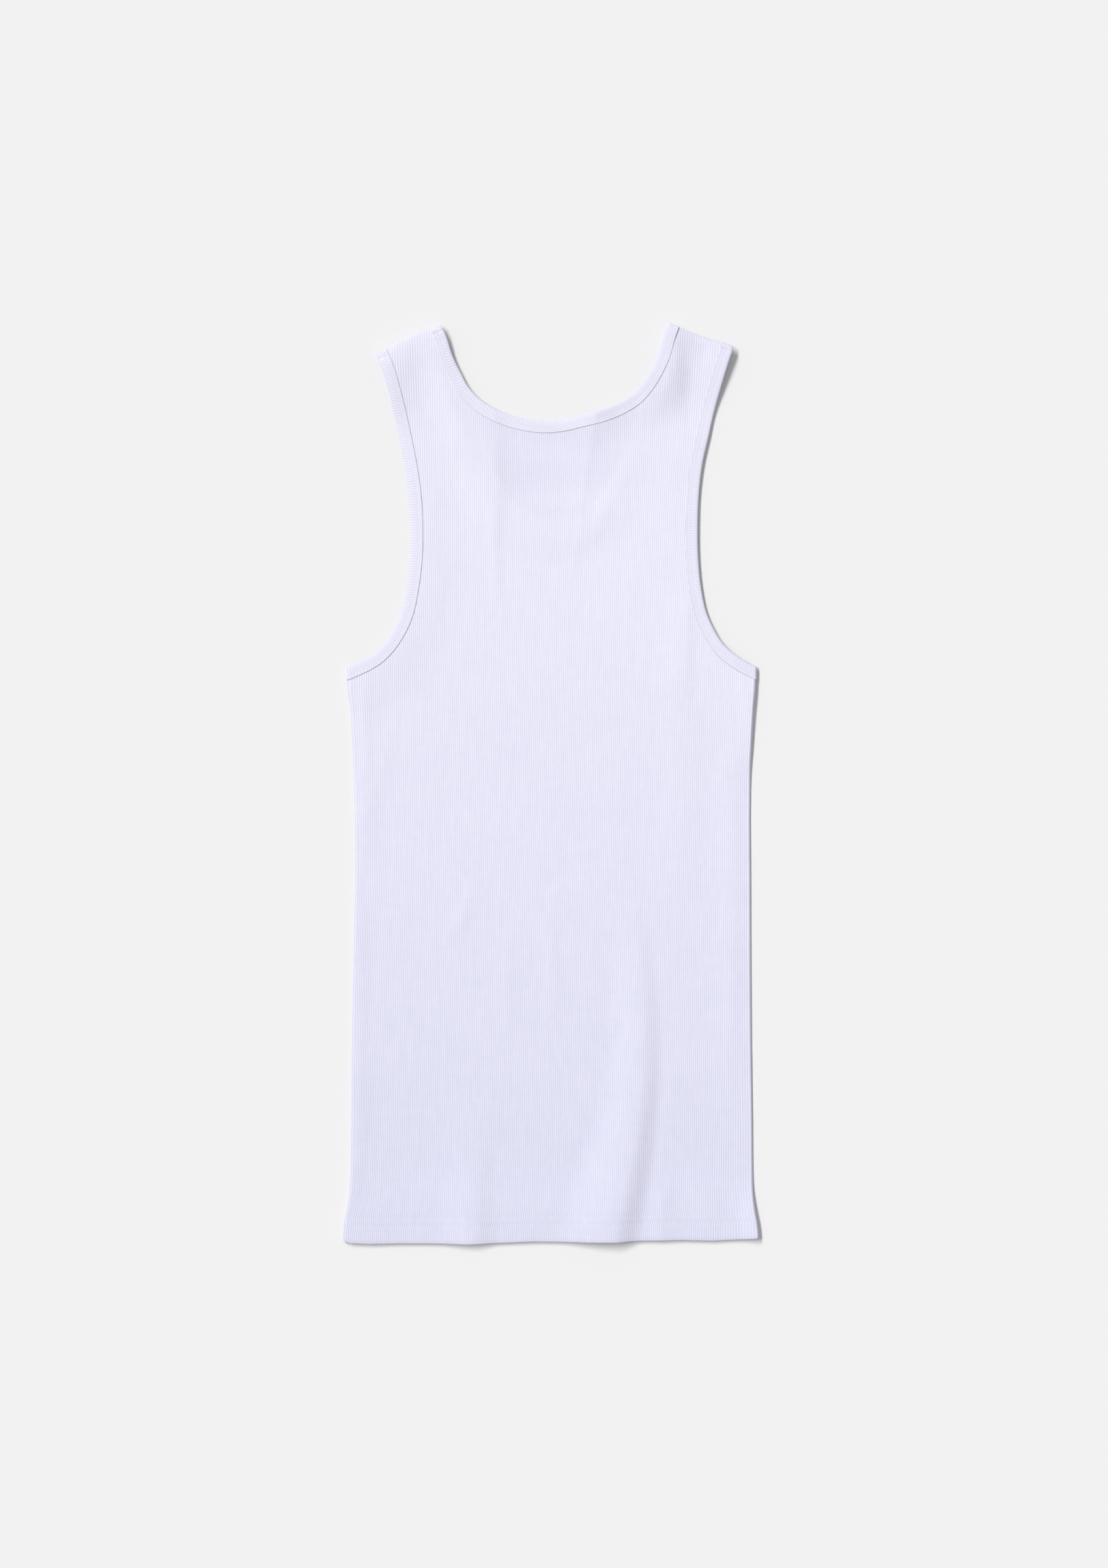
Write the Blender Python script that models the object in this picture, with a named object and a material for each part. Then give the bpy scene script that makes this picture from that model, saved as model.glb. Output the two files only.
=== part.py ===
"""A ribbed cotton tank top laid flat on its front, back up.

X runs across the garment, +Y from the hem to the shoulders and +Z up. The origin lies under
the middle of the garment, on the surface that it rests on. Sizes are in millimetres and
become metres where each mesh is made.

The front lies on the surface and the back lies on the front. Both are joined by three strips
of binding, folded round the raw edges of the neck and the two armholes. Each strip is one
closed loop: it runs along the back, turns over at a fold of the garment and comes home along
the front.
"""

import math

import bmesh
import bpy
import numpy as np
from mathutils import Vector, kdtree
from mathutils.geometry import delaunay_2d_cdt

MM = 0.001

# Cloth
WALL = 1.1  # plain thickness of the rib knit, between its ribs
RIB_RISE = 0.35  # how far a rib stands out of that
RIB_PITCH = 1.49  # one rib to the next
RIB_COUNT = 205
RIB_SPAN = RIB_COUNT * RIB_PITCH / 2  # ribs lie this far to each side of the middle
RIB_MIDDLE = 1.0  # x of the middle of the body
RIB_LEAN = 0.02  # the knit is a little askew: ribs lean by this much of their length
RIB_SPREAD = 0.15  # how much more they lean out at the sides of the straps,
RIB_SPREAD_FROM = 150.0  # from this y up
GAP = 0.3  # between neighbouring pieces

# Binding: a strip folded round the raw edge, so its section is a U
BAND_WIDTH = 9.5
BAND_WALL = 1.0
RAW_EDGE = 1.6  # the panel's raw edge, in from the binding's outer edge
BAND_CLEAR = BAND_WIDTH + 0.8  # where the panel has come out of the binding
BAND_HALF = BAND_WALL + GAP + WALL / 2  # half the height of the folded strip

TURN_LEAD = 6.0  # the binding comes straight to a shoulder's fold over this length
SHOULDER_BOW = 2.2  # how far the fold stands out between its two bindings
DESCENT = (56.0, 96.0)  # along the back's neck, where it comes down from the straps to rest

# The two layers. A binding turns over round MID_HEIGHT, with its middle at TURN_RADIUS.
MID_HEIGHT = 2 * BAND_HALF + GAP / 2
TURN_RADIUS = BAND_HALF + GAP / 2
BACK_REST = WALL + GAP  # the back's plain inside, over the front
CARRIED_RISE = 3.3  # how much higher the back lies over the front's bindings
HELD_FADE = 36.0  # the back comes down this far in from its own bindings

# Hem: the cloth turned up once inside
HEM_DEPTH = 20.0
HEM_WALL = 1.0
HEM_RISE = 2 * HEM_WALL
HEM_FADE = 14.0
HEM_STEP = 0.6  # the turned-up layer ends within this
HEM_EDGE = 0.01
HEM_MARGIN = 3.0
HEM_CORNER = 2.0  # how round the hem's corners are
HEM_SOFTEN = 0.7  # and its bottom edge
HEM_STATIONS = 30

# Fineness of the meshes
PATH_STEP = 1.5
STATION_STRIDE = 8
SHOULDER_STATIONS = 7
FOLD_TOLERANCE = 0.3
RIB_SAMPLE = 5.0
RIB_CLEAR = 0.8
SIDE_CLEAR = 3.2  # the last rib lies this far in from the side fold
PLAIN_STRIDE = 8  # every eighth rib line carries the plain inside
CURL = (86.0, 45.0, 0.0)  # degrees round a folded edge, from its middle to its top
TURN_STEPS = 6

# The garment's outline. Each table has a row for each named height or place.
SIDES = (  # y, left x, right x
    (72.0, -158.4, 159.6),
    (58.0, -156.8, 158.9),
    (15.0, -154.6, 156.4),
    (-28.0, -153.5, 155.7),
    (-70.0, -153.0, 155.7),
    (-135.0, -154.6, 156.0),
    (-199.0, -155.7, 156.3),
    (-263.0, -156.2, 157.2),
    (-306.0, -156.8, 157.8),
    (-322.0, -157.8, 158.5),
    (-333.0, -159.6, 160.0),
    (-343.0, -162.2, 161.4),
    (-352.0, -162.6, 162.4),
)
HEM = (  # x, y
    (-161.4, -358.0),
    (-150.0, -359.3),
    (-119.0, -358.8),
    (-87.0, -359.8),
    (-65.0, -360.3),
    (-44.0, -359.4),
    (-12.0, -358.2),
    (31.0, -358.7),
    (52.0, -358.5),
    (63.0, -357.7),
    (106.0, -356.7),
    (149.0, -356.6),
    (161.2, -356.2),
)
SHOULDERS = {  # the folded top of each strap: outer end, inner end
    "left": ((-137.4, 337.4), (-86.0, 360.2)),
    "right": ((143.4, 342.6), (91.3, 360.8)),
}
UNDERARMS = {  # where the binding turns over the side: x, y of its upper corner
    "left": (-160.2, 92.2),
    "right": (161.2, 92.6),
}
BACK_NECK = (  # x, y of the opening's edge, left to right
    (-77.0, 334.1),
    (-70.6, 321.3),
    (-65.2, 312.0),
    (-55.5, 301.5),
    (-46.5, 295.6),
    (-36.5, 291.0),
    (-21.0, 286.5),
    (-5.0, 284.6),
    (10.2, 286.0),
    (24.1, 289.2),
    (40.1, 293.2),
    (55.6, 299.9),
    (63.5, 305.0),
    (70.8, 312.7),
    (76.5, 321.3),
    (82.9, 334.1),
)
FRONT_NECK = (  # x, y of the opening's edge, left to right
    (-78.0, 334.0),
    (-71.0, 309.0),
    (-61.0, 288.0),
    (-52.0, 265.0),
    (-45.0, 242.0),
    (-36.0, 225.5),
    (-20.0, 211.5),
    (1.5, 205.0),
    (20.0, 208.0),
    (36.0, 219.0),
    (50.0, 240.0),
    (59.0, 266.0),
    (67.0, 288.0),
    (77.0, 309.0),
    (84.0, 334.0),
)
BACK_ARMHOLES = {  # x, y of the opening's edge, from the shoulder to the underarm
    "left": (
        (-127.3, 308.4),
        (-123.0, 291.3),
        (-118.8, 272.0),
        (-114.5, 250.6),
        (-111.3, 229.2),
        (-109.7, 203.0),
        (-110.2, 175.7),
        (-112.9, 154.3),
        (-117.7, 132.9),
        (-122.5, 122.2),
        (-129.5, 111.5),
        (-137.0, 103.5),
        (-146.0, 97.7),
    ),
    "right": (
        (132.1, 308.4),
        (127.3, 291.3),
        (123.0, 272.0),
        (118.2, 250.6),
        (115.6, 229.2),
        (114.5, 203.0),
        (115.0, 175.7),
        (117.2, 154.3),
        (122.0, 132.9),
        (126.8, 122.2),
        (133.2, 111.5),
        (141.2, 103.5),
        (148.5, 98.4),
    ),
}
FRONT_ARMHOLE = (  # in from the back's armhole, y, from the shoulder to the underarm
    (0.8, 308.4),
    (2.4, 291.3),
    (3.8, 272.0),
    (4.8, 250.6),
    (5.3, 229.2),
    (5.6, 203.0),
    (5.4, 175.7),
    (5.0, 152.0),
    (4.5, 129.0),
)
FRONT_UNDERARM = (  # in from the side fold, y: the front's armhole is cut lower
    (36.0, 106.0),
    (25.0, 93.5),
    (14.0, 88.0),
)
FOLDS = {  # crest: x, y, height, reach to the left, reach to the right
    "long_fold": (
        (64.0, -112.0, 0.0, 20.0, 12.0),
        (69.5, -145.0, 1.6, 22.0, 12.0),
        (73.8, -225.0, 3.0, 26.0, 12.0),
        (65.2, -279.0, 3.4, 28.0, 12.0),
        (54.5, -332.0, 3.6, 30.0, 13.0),
        (53.0, -362.0, 3.6, 30.0, 14.0),
    ),
    "hem_lift": (
        (-52.0, -262.0, 0.0, 24.0, 24.0),
        (-55.0, -300.0, 0.9, 30.0, 28.0),
        (-57.0, -362.0, 2.6, 34.0, 32.0),
    ),
    "middle_fold": (
        (-2.0, -80.0, 0.0, 14.0, 14.0),
        (-4.0, -120.0, 1.0, 16.0, 16.0),
        (-6.0, -185.0, 0.0, 14.0, 14.0),
    ),
}

CLOTH_COLOUR = (0.86, 0.87, 0.94, 1.0)
BINDING_COLOUR = (0.88, 0.89, 0.96, 1.0)
CLOTH_ROUGHNESS = 0.9

UP = np.array((0.0, 0.0, 1.0))
SIGN = {"left": -1.0, "right": 1.0}


def unit(vector):
    vector = np.asarray(vector, float)
    return vector / np.linalg.norm(vector)


def ramp(value, start, end):
    """0 up to start, 1 past end and straight between them."""
    return np.clip((value - start) / (end - start), 0.0, 1.0)


def smooth_curve(points, step):
    """Points about a step apart on a smooth curve through the given ones."""
    points = np.array(points, float)
    chord = np.linalg.norm(np.diff(points, axis=0), axis=1)
    at = np.concatenate(([0.0], np.cumsum(chord)))
    slope = np.gradient(points, at, axis=0)
    fine = np.linspace(0.0, at[-1], max(8, int(at[-1] * 4)))
    piece = np.clip(np.searchsorted(at, fine, "right") - 1, 0, len(at) - 2)
    span = (at[piece + 1] - at[piece])[:, None]
    t = (fine - at[piece])[:, None] / span
    curve = (
        (2 * t**3 - 3 * t**2 + 1) * points[piece]
        + (t**3 - 2 * t**2 + t) * span * slope[piece]
        + (3 * t**2 - 2 * t**3) * points[piece + 1]
        + (t**3 - t**2) * span * slope[piece + 1]
    )
    length = np.concatenate(([0.0], np.cumsum(np.linalg.norm(np.diff(curve, axis=0), axis=1))))
    count = max(2, int(round(length[-1] / step)) + 1)
    wanted = np.linspace(0.0, length[-1], count)
    return np.column_stack([np.interp(wanted, length, curve[:, i]) for i in range(points.shape[1])])


def simplified(points, tolerance):
    """The points of a polyline that it needs to stay within a tolerance of the whole of it."""
    keep = np.zeros(len(points), bool)
    keep[[0, -1]] = True
    pending = [(0, len(points) - 1)]
    while pending:
        first, last = pending.pop()
        if last - first < 2:
            continue
        middle = points[first + 1 : last]
        way = points[last] - points[first]
        t = np.clip((middle - points[first]) @ way / (way @ way), 0.0, 1.0)
        off = np.linalg.norm(middle - points[first] - t[:, None] * way, axis=1)
        worst = int(off.argmax())
        if off[worst] > tolerance:
            cut = first + 1 + worst
            keep[cut] = True
            pending += [(first, cut), (cut, last)]
    return points[keep]


class Turn:
    """A fold of the garment, where a binding turns over from the back to the front."""

    def __init__(self, corner, along, out):
        self.along = np.array((*along, 0.0))  # across the binding, into the cloth
        self.out = np.array((*out, 0.0))
        self.centre = np.array((*corner, 0.0)) - self.out * (TURN_RADIUS + BAND_HALF)
        self.centre[2] = MID_HEIGHT

    def normal(self, degrees):
        angle = math.radians(degrees)
        return math.cos(angle) * UP + math.sin(angle) * self.out

    def lead(self):
        """The first points of a run that starts here. It leaves a shoulder's fold squarely."""
        first = self.centre[:2]
        return [first, first - TURN_LEAD * self.out[:2]] if abs(self.out[1]) > 0.5 else [first]

    def frame(self, degrees):
        """Point, across vector and normal of the binding, 0 on the back and 180 on the front."""
        normal = self.normal(degrees)
        return self.centre + TURN_RADIUS * normal, self.along, normal


class Run:
    """One stretch of binding between two turns, along the back (+1) or the front (-1)."""

    def __init__(self, side, start, points, end, cloth_left, low_height=None):
        self.xy = smooth_curve([*start.lead(), *points, *end.lead()[::-1]], PATH_STEP)
        tangent = np.gradient(self.xy, axis=0)
        tangent /= np.linalg.norm(tangent, axis=1)[:, None]
        turned = np.column_stack((-tangent[:, 1], tangent[:, 0]))
        self.across = turned if cloth_left else -turned
        from_start = np.arange(len(self.xy)) * PATH_STEP
        for turn, distance in ((start, from_start), (end, from_start[::-1])):
            share = (1 - ramp(distance, 0.0, 2 * TURN_LEAD))[:, None]
            self.across = (1 - share) * self.across + share * turn.along[:2]
        ends = np.minimum(from_start, from_start[::-1])
        high = MID_HEIGHT + side * TURN_RADIUS
        low = high if low_height is None else low_height
        self.z = high + (low - high) * ramp(ends, *DESCENT)
        self.side = side
        self.tree = kdtree.KDTree(len(self.xy))
        for i, (x, y) in enumerate(self.xy):
            self.tree.insert((x, y, 0.0), i)
        self.tree.balance()

    def stations(self):
        """Places along the run where the meshes have points."""
        last = len(self.xy) - 1
        return np.round(np.linspace(0, last, round(last / STATION_STRIDE) + 1)).astype(int)

    def frame(self, i):
        point = np.array((*self.xy[i], self.z[i]))
        return point, np.array((*self.across[i], 0.0)), self.side * UP

    def line(self, across, outward):
        """Points along the run, at a distance in from its edge and out from its middle."""
        frames = [self.frame(i) for i in self.stations()]
        return np.array([p + across * a + outward * n for p, a, n in frames])

    def nearest(self, x, y):
        """Distance in from the edge (below 0 in the opening) and the run's height there."""
        _, i, distance = self.tree.find((x, y, 0.0))
        inside = np.dot((x - self.xy[i][0], y - self.xy[i][1]), self.across[i])
        return math.copysign(distance, inside), self.z[i]


def shoulder_turns(side):
    """The neck binding's turn and the armhole binding's turn on one shoulder."""
    outer, inner = (np.array(p) for p in SHOULDERS[side])
    along = unit(inner - outer)
    out = np.array((-along[1], along[0]))
    out *= np.sign(out[1])
    return Turn(inner, -along, out), Turn(outer, along, out)


SHOULDER_TURNS = {side: shoulder_turns(side) for side in SHOULDERS}


def armhole_runs(side):
    """The armhole binding's runs and turns, in order from the shoulder along the back."""
    sign = SIGN[side]
    _, top = SHOULDER_TURNS[side]
    edge_x, edge_y = UNDERARMS[side]
    slant = 1 / math.cos(math.radians(26.0))
    bottom = Turn((edge_x, edge_y), (0.0, -slant), (sign, 0.0))
    back_table = np.array(BACK_ARMHOLES[side])
    back = Run(+1, top, back_table, bottom, cloth_left=sign < 0)
    heights = back_table[::-1, 1]
    front_points = [
        (np.interp(y, heights, back_table[::-1, 0]) - sign * inset, y) for inset, y in FRONT_ARMHOLE
    ]
    front_points += [(edge_x - sign * inset, y) for inset, y in FRONT_UNDERARM]
    front = Run(-1, bottom, front_points[::-1], top, cloth_left=sign > 0)
    return back, bottom, front, top


def neck_runs():
    """The neck binding's runs and turns, in order from the left shoulder along the back."""
    left, _ = SHOULDER_TURNS["left"]
    right, _ = SHOULDER_TURNS["right"]
    back = Run(+1, left, BACK_NECK, right, cloth_left=False, low_height=BAND_HALF)
    front = Run(-1, right, FRONT_NECK[::-1], left, cloth_left=True)
    return back, right, front, left


NECK = neck_runs()
ARMHOLES = {side: armhole_runs(side) for side in SIGN}
BACK_RUNS = [NECK[0]] + [ARMHOLES[side][0] for side in SIGN]
FRONT_RUNS = [NECK[2]] + [ARMHOLES[side][2] for side in SIGN]


# Heights of the two panels


def hem_height(x):
    table = np.array(HEM)
    return np.interp(x, table[:, 0], table[:, 1])


def above_hem(x, y):
    return y - hem_height(x)


def wall(x, y):
    """The cloth's thickness: doubled where the hem is turned up."""
    return WALL + HEM_WALL * (above_hem(x, y) <= HEM_DEPTH)


def fold_rise(x, y):
    """The rise of the back's largest folds."""
    total = 0.0
    for crest in FOLDS.values():
        table = np.array(crest)[::-1]
        if not table[0, 1] <= y <= table[-1, 1]:
            continue
        crest_x, height, left, right = (np.interp(y, table[:, 1], table[:, i]) for i in (0, 2, 3, 4))
        off = abs(x - crest_x) / (left if x < crest_x else right)
        total += height * 0.5 * (1 + math.cos(math.pi * min(off, 1.0)))
    return total


def near_shoulder(x, y):
    """1 at the folded top of a strap, fading to 0 down the strap."""
    turn, _ = SHOULDER_TURNS["left" if x < 0 else "right"]
    below = np.dot(turn.centre[:2] - (x, y), turn.out[:2])
    return 1 - ramp(below, 1.0, 16.0)


def back_outside(x, y):
    """Height of the back's outer face between its ribs."""
    neck, _ = FRONT_RUNS[0].nearest(x, y)
    over = (1 - ramp(neck, 11.0, 26.0)) * (1 - ramp(-neck, 1.5, 20.0))
    for run in FRONT_RUNS[1:]:
        armhole, _ = run.nearest(x, y)
        over = max(over, 1 - ramp(armhole, 11.0, 26.0))
    height = BACK_REST + WALL + CARRIED_RISE * over + fold_rise(x, y)
    height += HEM_RISE * (1 - ramp(above_hem(x, y), HEM_DEPTH, HEM_DEPTH + HEM_FADE))
    for run in BACK_RUNS:
        distance, middle = run.nearest(x, y)
        held = 1 - ramp(distance, BAND_CLEAR, HELD_FADE)
        height += (middle + WALL / 2 - height) * held
    return height + (MID_HEIGHT + TURN_RADIUS + WALL / 2 - height) * near_shoulder(x, y)


def back_inside(x, y):
    return back_outside(x, y) - wall(x, y)


def front_outside(x, y):
    """Height of the front's outer face, which lies on the surface."""
    nearest = min(run.nearest(x, y)[0] for run in FRONT_RUNS)
    lifted = max(1 - ramp(nearest, BAND_CLEAR, 17.0), near_shoulder(x, y))
    return (BAND_WALL + GAP) * lifted


def front_inside(x, y):
    return front_outside(x, y) + wall(x, y)


# Panels: an outer and an inner sheet on one rim


def triangulated(loop, lines):
    """Triangles inside a loop that keep to the lines. Returns points, triangles, loop places."""
    points = list(loop)
    edges = [(i, (i + 1) % len(loop)) for i in range(len(loop))]
    for line in lines:
        start = len(points)
        points += list(line)
        edges += [(start + i, start + i + 1) for i in range(len(line) - 1)]
    flat = [Vector(point[:2]) for point in points]
    _, _, triangles, sources, _, _ = delaunay_2d_cdt(flat, edges, [], 1, 1e-5)
    place = {source: i for i, merged in enumerate(sources) for source in merged}
    return [points[merged[0]] for merged in sources], triangles, [place[i] for i in range(len(loop))]


class Panel:
    """Polylines on a panel's outer and inner face, and the rim where the faces meet."""

    def __init__(self, side, outside, inside):
        self.side = side  # +1 where the outer face is up
        self.height = {"outer": outside, "inner": inside}
        self.lines = {"outer": [], "inner": []}
        self.rim = []  # pairs of points, outer and inner
        self.field = []  # outline of the part between the rims

    def add_bound(self, run, reverse):
        """A raw edge inside a binding."""
        order = slice(None, None, -1 if reverse else 1)
        rows = []
        for across in (RAW_EDGE, BAND_CLEAR):
            outer = run.line(across, WALL / 2)[order]
            inner = run.line(across, -WALL / 2)[order]
            self.lines["outer"].append(outer)
            self.lines["inner"].append(inner)
            rows.append((outer, inner))
        self.rim += list(zip(*rows[0]))
        self.field += list(rows[1][0])

    def add_curled(self, stations, in_field, joined):
        """A folded edge. A station is a centre, an outward way and two radii; joined says which
        ends meet a binding."""
        rows = {face: [] for face in self.lines}
        for degrees in CURL:
            lean = math.radians(degrees)
            for face in rows:
                row = []
                for centre, out, radii in stations:
                    rise = max(radii[face] * math.cos(lean), GAP / 2)
                    row.append(centre + radii[face] * math.sin(lean) * out + self.side * rise * UP)
                rows[face].append(np.array(row))
        for face in rows:
            self.lines[face] += rows[face]
            self.lines[face] += [np.array([row[end] for row in rows[face]]) for end in (0, -1)]
        pairs = [list(zip(outer, inner)) for outer, inner in zip(rows["outer"], rows["inner"])]
        self.rim += [pairs[1][0]] * joined[0] + pairs[0] + [pairs[1][-1]] * joined[1]
        self.field += [point for point, used in zip(rows["outer"][-1], in_field) if used]

    def add_hem(self):
        """The folded bottom edge, from left to right."""
        left, right = (side_stations(side, self)[0][-1][0][0] for side in SIGN)
        xs = np.linspace(left + HEM_CORNER, right - HEM_CORNER, HEM_STATIONS)
        rows = {face: [[], []] for face in self.lines}
        for face, height in self.height.items():
            soften = self.side * HEM_SOFTEN if face == "outer" else 0.0
            for x in xs:
                y = hem_height(x)
                inner_y = y + HEM_SOFTEN
                rows[face][0].append((x, y, height(x, y) - soften))
                rows[face][1].append((x, inner_y, height(x, inner_y)))
            self.lines[face] += [np.array(row) for row in rows[face]]
        self.rim += list(zip(*(np.array(rows[face][0]) for face in rows)))
        self.field += list(np.array(rows["outer"][1]))

    def add_hem_step(self):
        """The inside edge of the turned-up hem: a line at its foot and one at its top."""
        for above in (HEM_DEPTH - HEM_EDGE, HEM_DEPTH + HEM_STEP):
            ends = [
                side_x(side, hem_height(SIGN[side] * RIB_SPAN) + above) - SIGN[side] * SIDE_CLEAR
                for side in SIGN
            ]
            line = [(x, hem_height(x) + above) for x in np.linspace(*ends, HEM_STATIONS)]
            self.lines["inner"].append(
                np.array([(x, y, self.height["inner"](x, y)) for x, y in line])
            )

    def build(self, name, colour):
        """The panel's mesh: its two faces and the rim between them."""
        mesh = bmesh.new()
        loops = []
        for place, face in enumerate(self.lines):
            loop = [pair[place] for pair in self.rim]
            points, triangles, loop_places = triangulated(loop, self.lines[face])
            verts = [mesh.verts.new(Vector(point) * MM) for point in points]
            for triangle in triangles:
                mesh.faces.new([verts[i] for i in triangle])
            loops.append([verts[i] for i in loop_places])
        outer, inner = loops
        for i in range(len(outer)):
            after = (i + 1) % len(outer)
            mesh.faces.new((outer[i], outer[after], inner[after], inner[i]))
        return finished(name, mesh, colour)


def shoulder_stations(side, neck_first):
    """The strap's folded top, between its two bindings."""
    neck_turn, armhole_turn = SHOULDER_TURNS[side]
    radii = {"outer": TURN_RADIUS + WALL / 2, "inner": TURN_RADIUS - WALL / 2}
    width = np.linalg.norm(neck_turn.centre - armhole_turn.centre)
    start = neck_turn if neck_first else armhole_turn
    stations = [(start.centre + RAW_EDGE * start.along, start.out, radii)]
    for across in np.linspace(-1, 1, SHOULDER_STATIONS):
        place = width / 2 + across * (width / 2 - BAND_CLEAR)
        bow = SHOULDER_BOW * (1 - across**4)
        stations.append((start.centre + place * start.along + bow * start.out, start.out, radii))
    stations.append((start.centre + (width - RAW_EDGE) * start.along, start.out, radii))
    return stations, [False] + [True] * SHOULDER_STATIONS + [False]


def side_x(side, y):
    table = np.array(SIDES)[::-1]
    return np.interp(y, table[:, 0], table[:, 1 if side == "left" else 2])


def side_stations(side, panel):
    """The side fold, from the underarm, where the binding holds it, down to the hem."""
    sign = SIGN[side]
    turn = ARMHOLES[side][1]
    held = {"outer": TURN_RADIUS + WALL / 2, "inner": TURN_RADIUS - WALL / 2}
    stations = [(turn.centre + place * turn.along, turn.out, held) for place in (RAW_EDGE, BAND_CLEAR)]
    top = stations[-1][0][1]
    step = hem_height(sign * RIB_SPAN) + HEM_DEPTH
    heights = [top - drop for drop in (3.5, 7.0, 11.0, 16.0, 22.0, 30.0)]
    heights += list(np.linspace(10.0, step + HEM_FADE + 9.0, 5))
    heights += [step + above for above in (HEM_FADE, HEM_FADE / 2, HEM_STEP, -HEM_EDGE, -10.0)]
    heights.append(step - HEM_DEPTH + HEM_CORNER)
    for y in heights:
        edge = side_x(side, y)
        held_edge = turn.centre[0] + sign * held["outer"]
        edge += (held_edge - edge) * (1 - ramp(top - y, 0.0, 16.0))
        x = edge - sign * SIDE_CLEAR
        middle = (back_inside(x, y) + front_inside(x, y)) / 2
        radii = {face: abs(height(x, y) - middle) for face, height in panel.height.items()}
        stations.append((np.array((edge - sign * radii["outer"], y, middle)), turn.out, radii))
    return stations, [False] + [True] * (len(stations) - 1)


# Ribs


def rib_x(place, y):
    """x of the rib line that lies at a place across the middle of the body."""
    share = place / RIB_SPAN
    lean = RIB_LEAN * y
    side = "left" if place < 0 else "right"
    low_y = min(y, SIDES[0][0])
    edge = side_x(side, low_y) - SIGN[side] * SIDE_CLEAR
    pull = edge - (RIB_MIDDLE + SIGN[side] * RIB_SPAN + RIB_LEAN * low_y)
    spread = RIB_SPREAD * share**3 * max(0.0, y - RIB_SPREAD_FROM)
    return RIB_MIDDLE + place + lean + spread + pull * abs(share) ** 8


def depth_inside(points, outline):
    """How far each point lies inside a closed outline, below 0 outside it."""
    starts = outline
    ends = np.roll(outline, -1, axis=0)
    way = ends - starts
    depth = []
    for point in points:
        t = np.clip(((point - starts) * way).sum(1) / (way * way).sum(1), 0.0, 1.0)
        distance = np.linalg.norm(starts + t[:, None] * way - point, axis=1).min()
        spans = (starts[:, 1] > point[1]) != (ends[:, 1] > point[1])
        crossing = starts[spans, 0] + way[spans, 0] * (point[1] - starts[spans, 1]) / way[spans, 1]
        odd = np.count_nonzero(crossing > point[0]) % 2
        depth.append(distance if odd else -distance)
    return np.array(depth)


def clipped(line, depth, clear):
    """The stretches of a line that lie deeper than clear."""
    stretches = []
    current = []
    for i, deep in enumerate(depth):
        inside = deep > clear
        if i and inside != (depth[i - 1] > clear):
            t = (clear - depth[i - 1]) / (deep - depth[i - 1])
            current.append(line[i - 1] + t * (line[i] - line[i - 1]))
            if not inside:
                stretches.append(np.array(current))
                current = []
        if inside:
            current.append(line[i])
    return [stretch for stretch in stretches if len(stretch) > 3]


def add_ribs(panel):
    """Rib lines on the outer face, high and low in turn, and plain lines on the inner face."""
    outline = np.array(panel.field)[:, :2]
    repeated = np.linalg.norm(outline - np.roll(outline, -1, axis=0), axis=1) < HEM_EDGE
    outline = outline[~repeated]
    ys = np.arange(outline[:, 1].min() - RIB_SAMPLE, outline[:, 1].max() + RIB_SAMPLE, RIB_SAMPLE)
    for i in range(2 * RIB_COUNT + 1):
        place = -RIB_SPAN + i * RIB_PITCH / 2
        line = np.array([(rib_x(place, y), y) for y in ys])
        for stretch in clipped(line, depth_inside(line, outline), RIB_CLEAR):
            rise = RIB_RISE * (i % 2)
            outer = [(x, y, panel.height["outer"](x, y) + rise) for x, y in stretch]
            panel.lines["outer"].append(simplified(np.array(outer), FOLD_TOLERANCE))
            if i % PLAIN_STRIDE == 0:
                add_plain(panel, stretch)


def add_plain(panel, stretch):
    """A line on the inner face, broken where the turned-up hem ends."""
    above = np.array([above_hem(x, y) for x, y in stretch])
    for part in (above < HEM_DEPTH - HEM_MARGIN, above > HEM_DEPTH + HEM_MARGIN):
        inner = [(x, y, panel.height["inner"](x, y)) for x, y in stretch[part]]
        if len(inner) > 1:
            panel.lines["inner"].append(simplified(np.array(inner), FOLD_TOLERANCE))


def add_flat(panel):
    """Lines where a plain panel comes down from its bindings and its folded edges."""
    for run in FRONT_RUNS:
        stations = run.stations()[2:-2]
        for across in (BAND_CLEAR + 3.4, BAND_CLEAR + 6.7):
            xy = [run.xy[i] + across * run.across[i] for i in stations]
            for face, height in panel.height.items():
                panel.lines[face].append(np.array([(x, y, height(x, y)) for x, y in xy]))


# Objects


def finished(name, mesh, colour):
    """An object of its own material, with its faces pointing out and its curves smooth."""
    bmesh.ops.recalc_face_normals(mesh, faces=mesh.faces)
    data = bpy.data.meshes.new(name)
    mesh.to_mesh(data)
    mesh.free()
    data.shade_smooth()
    data.set_sharp_from_angle(angle=math.radians(50.0))
    material = bpy.data.materials.new(name)
    material.use_nodes = True
    shader = material.node_tree.nodes["Principled BSDF"]
    shader.inputs["Base Color"].default_value = colour
    shader.inputs["Roughness"].default_value = CLOTH_ROUGHNESS
    data.materials.append(material)
    item = bpy.data.objects.new(name, data)
    bpy.context.scene.collection.objects.link(item)
    return item


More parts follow.
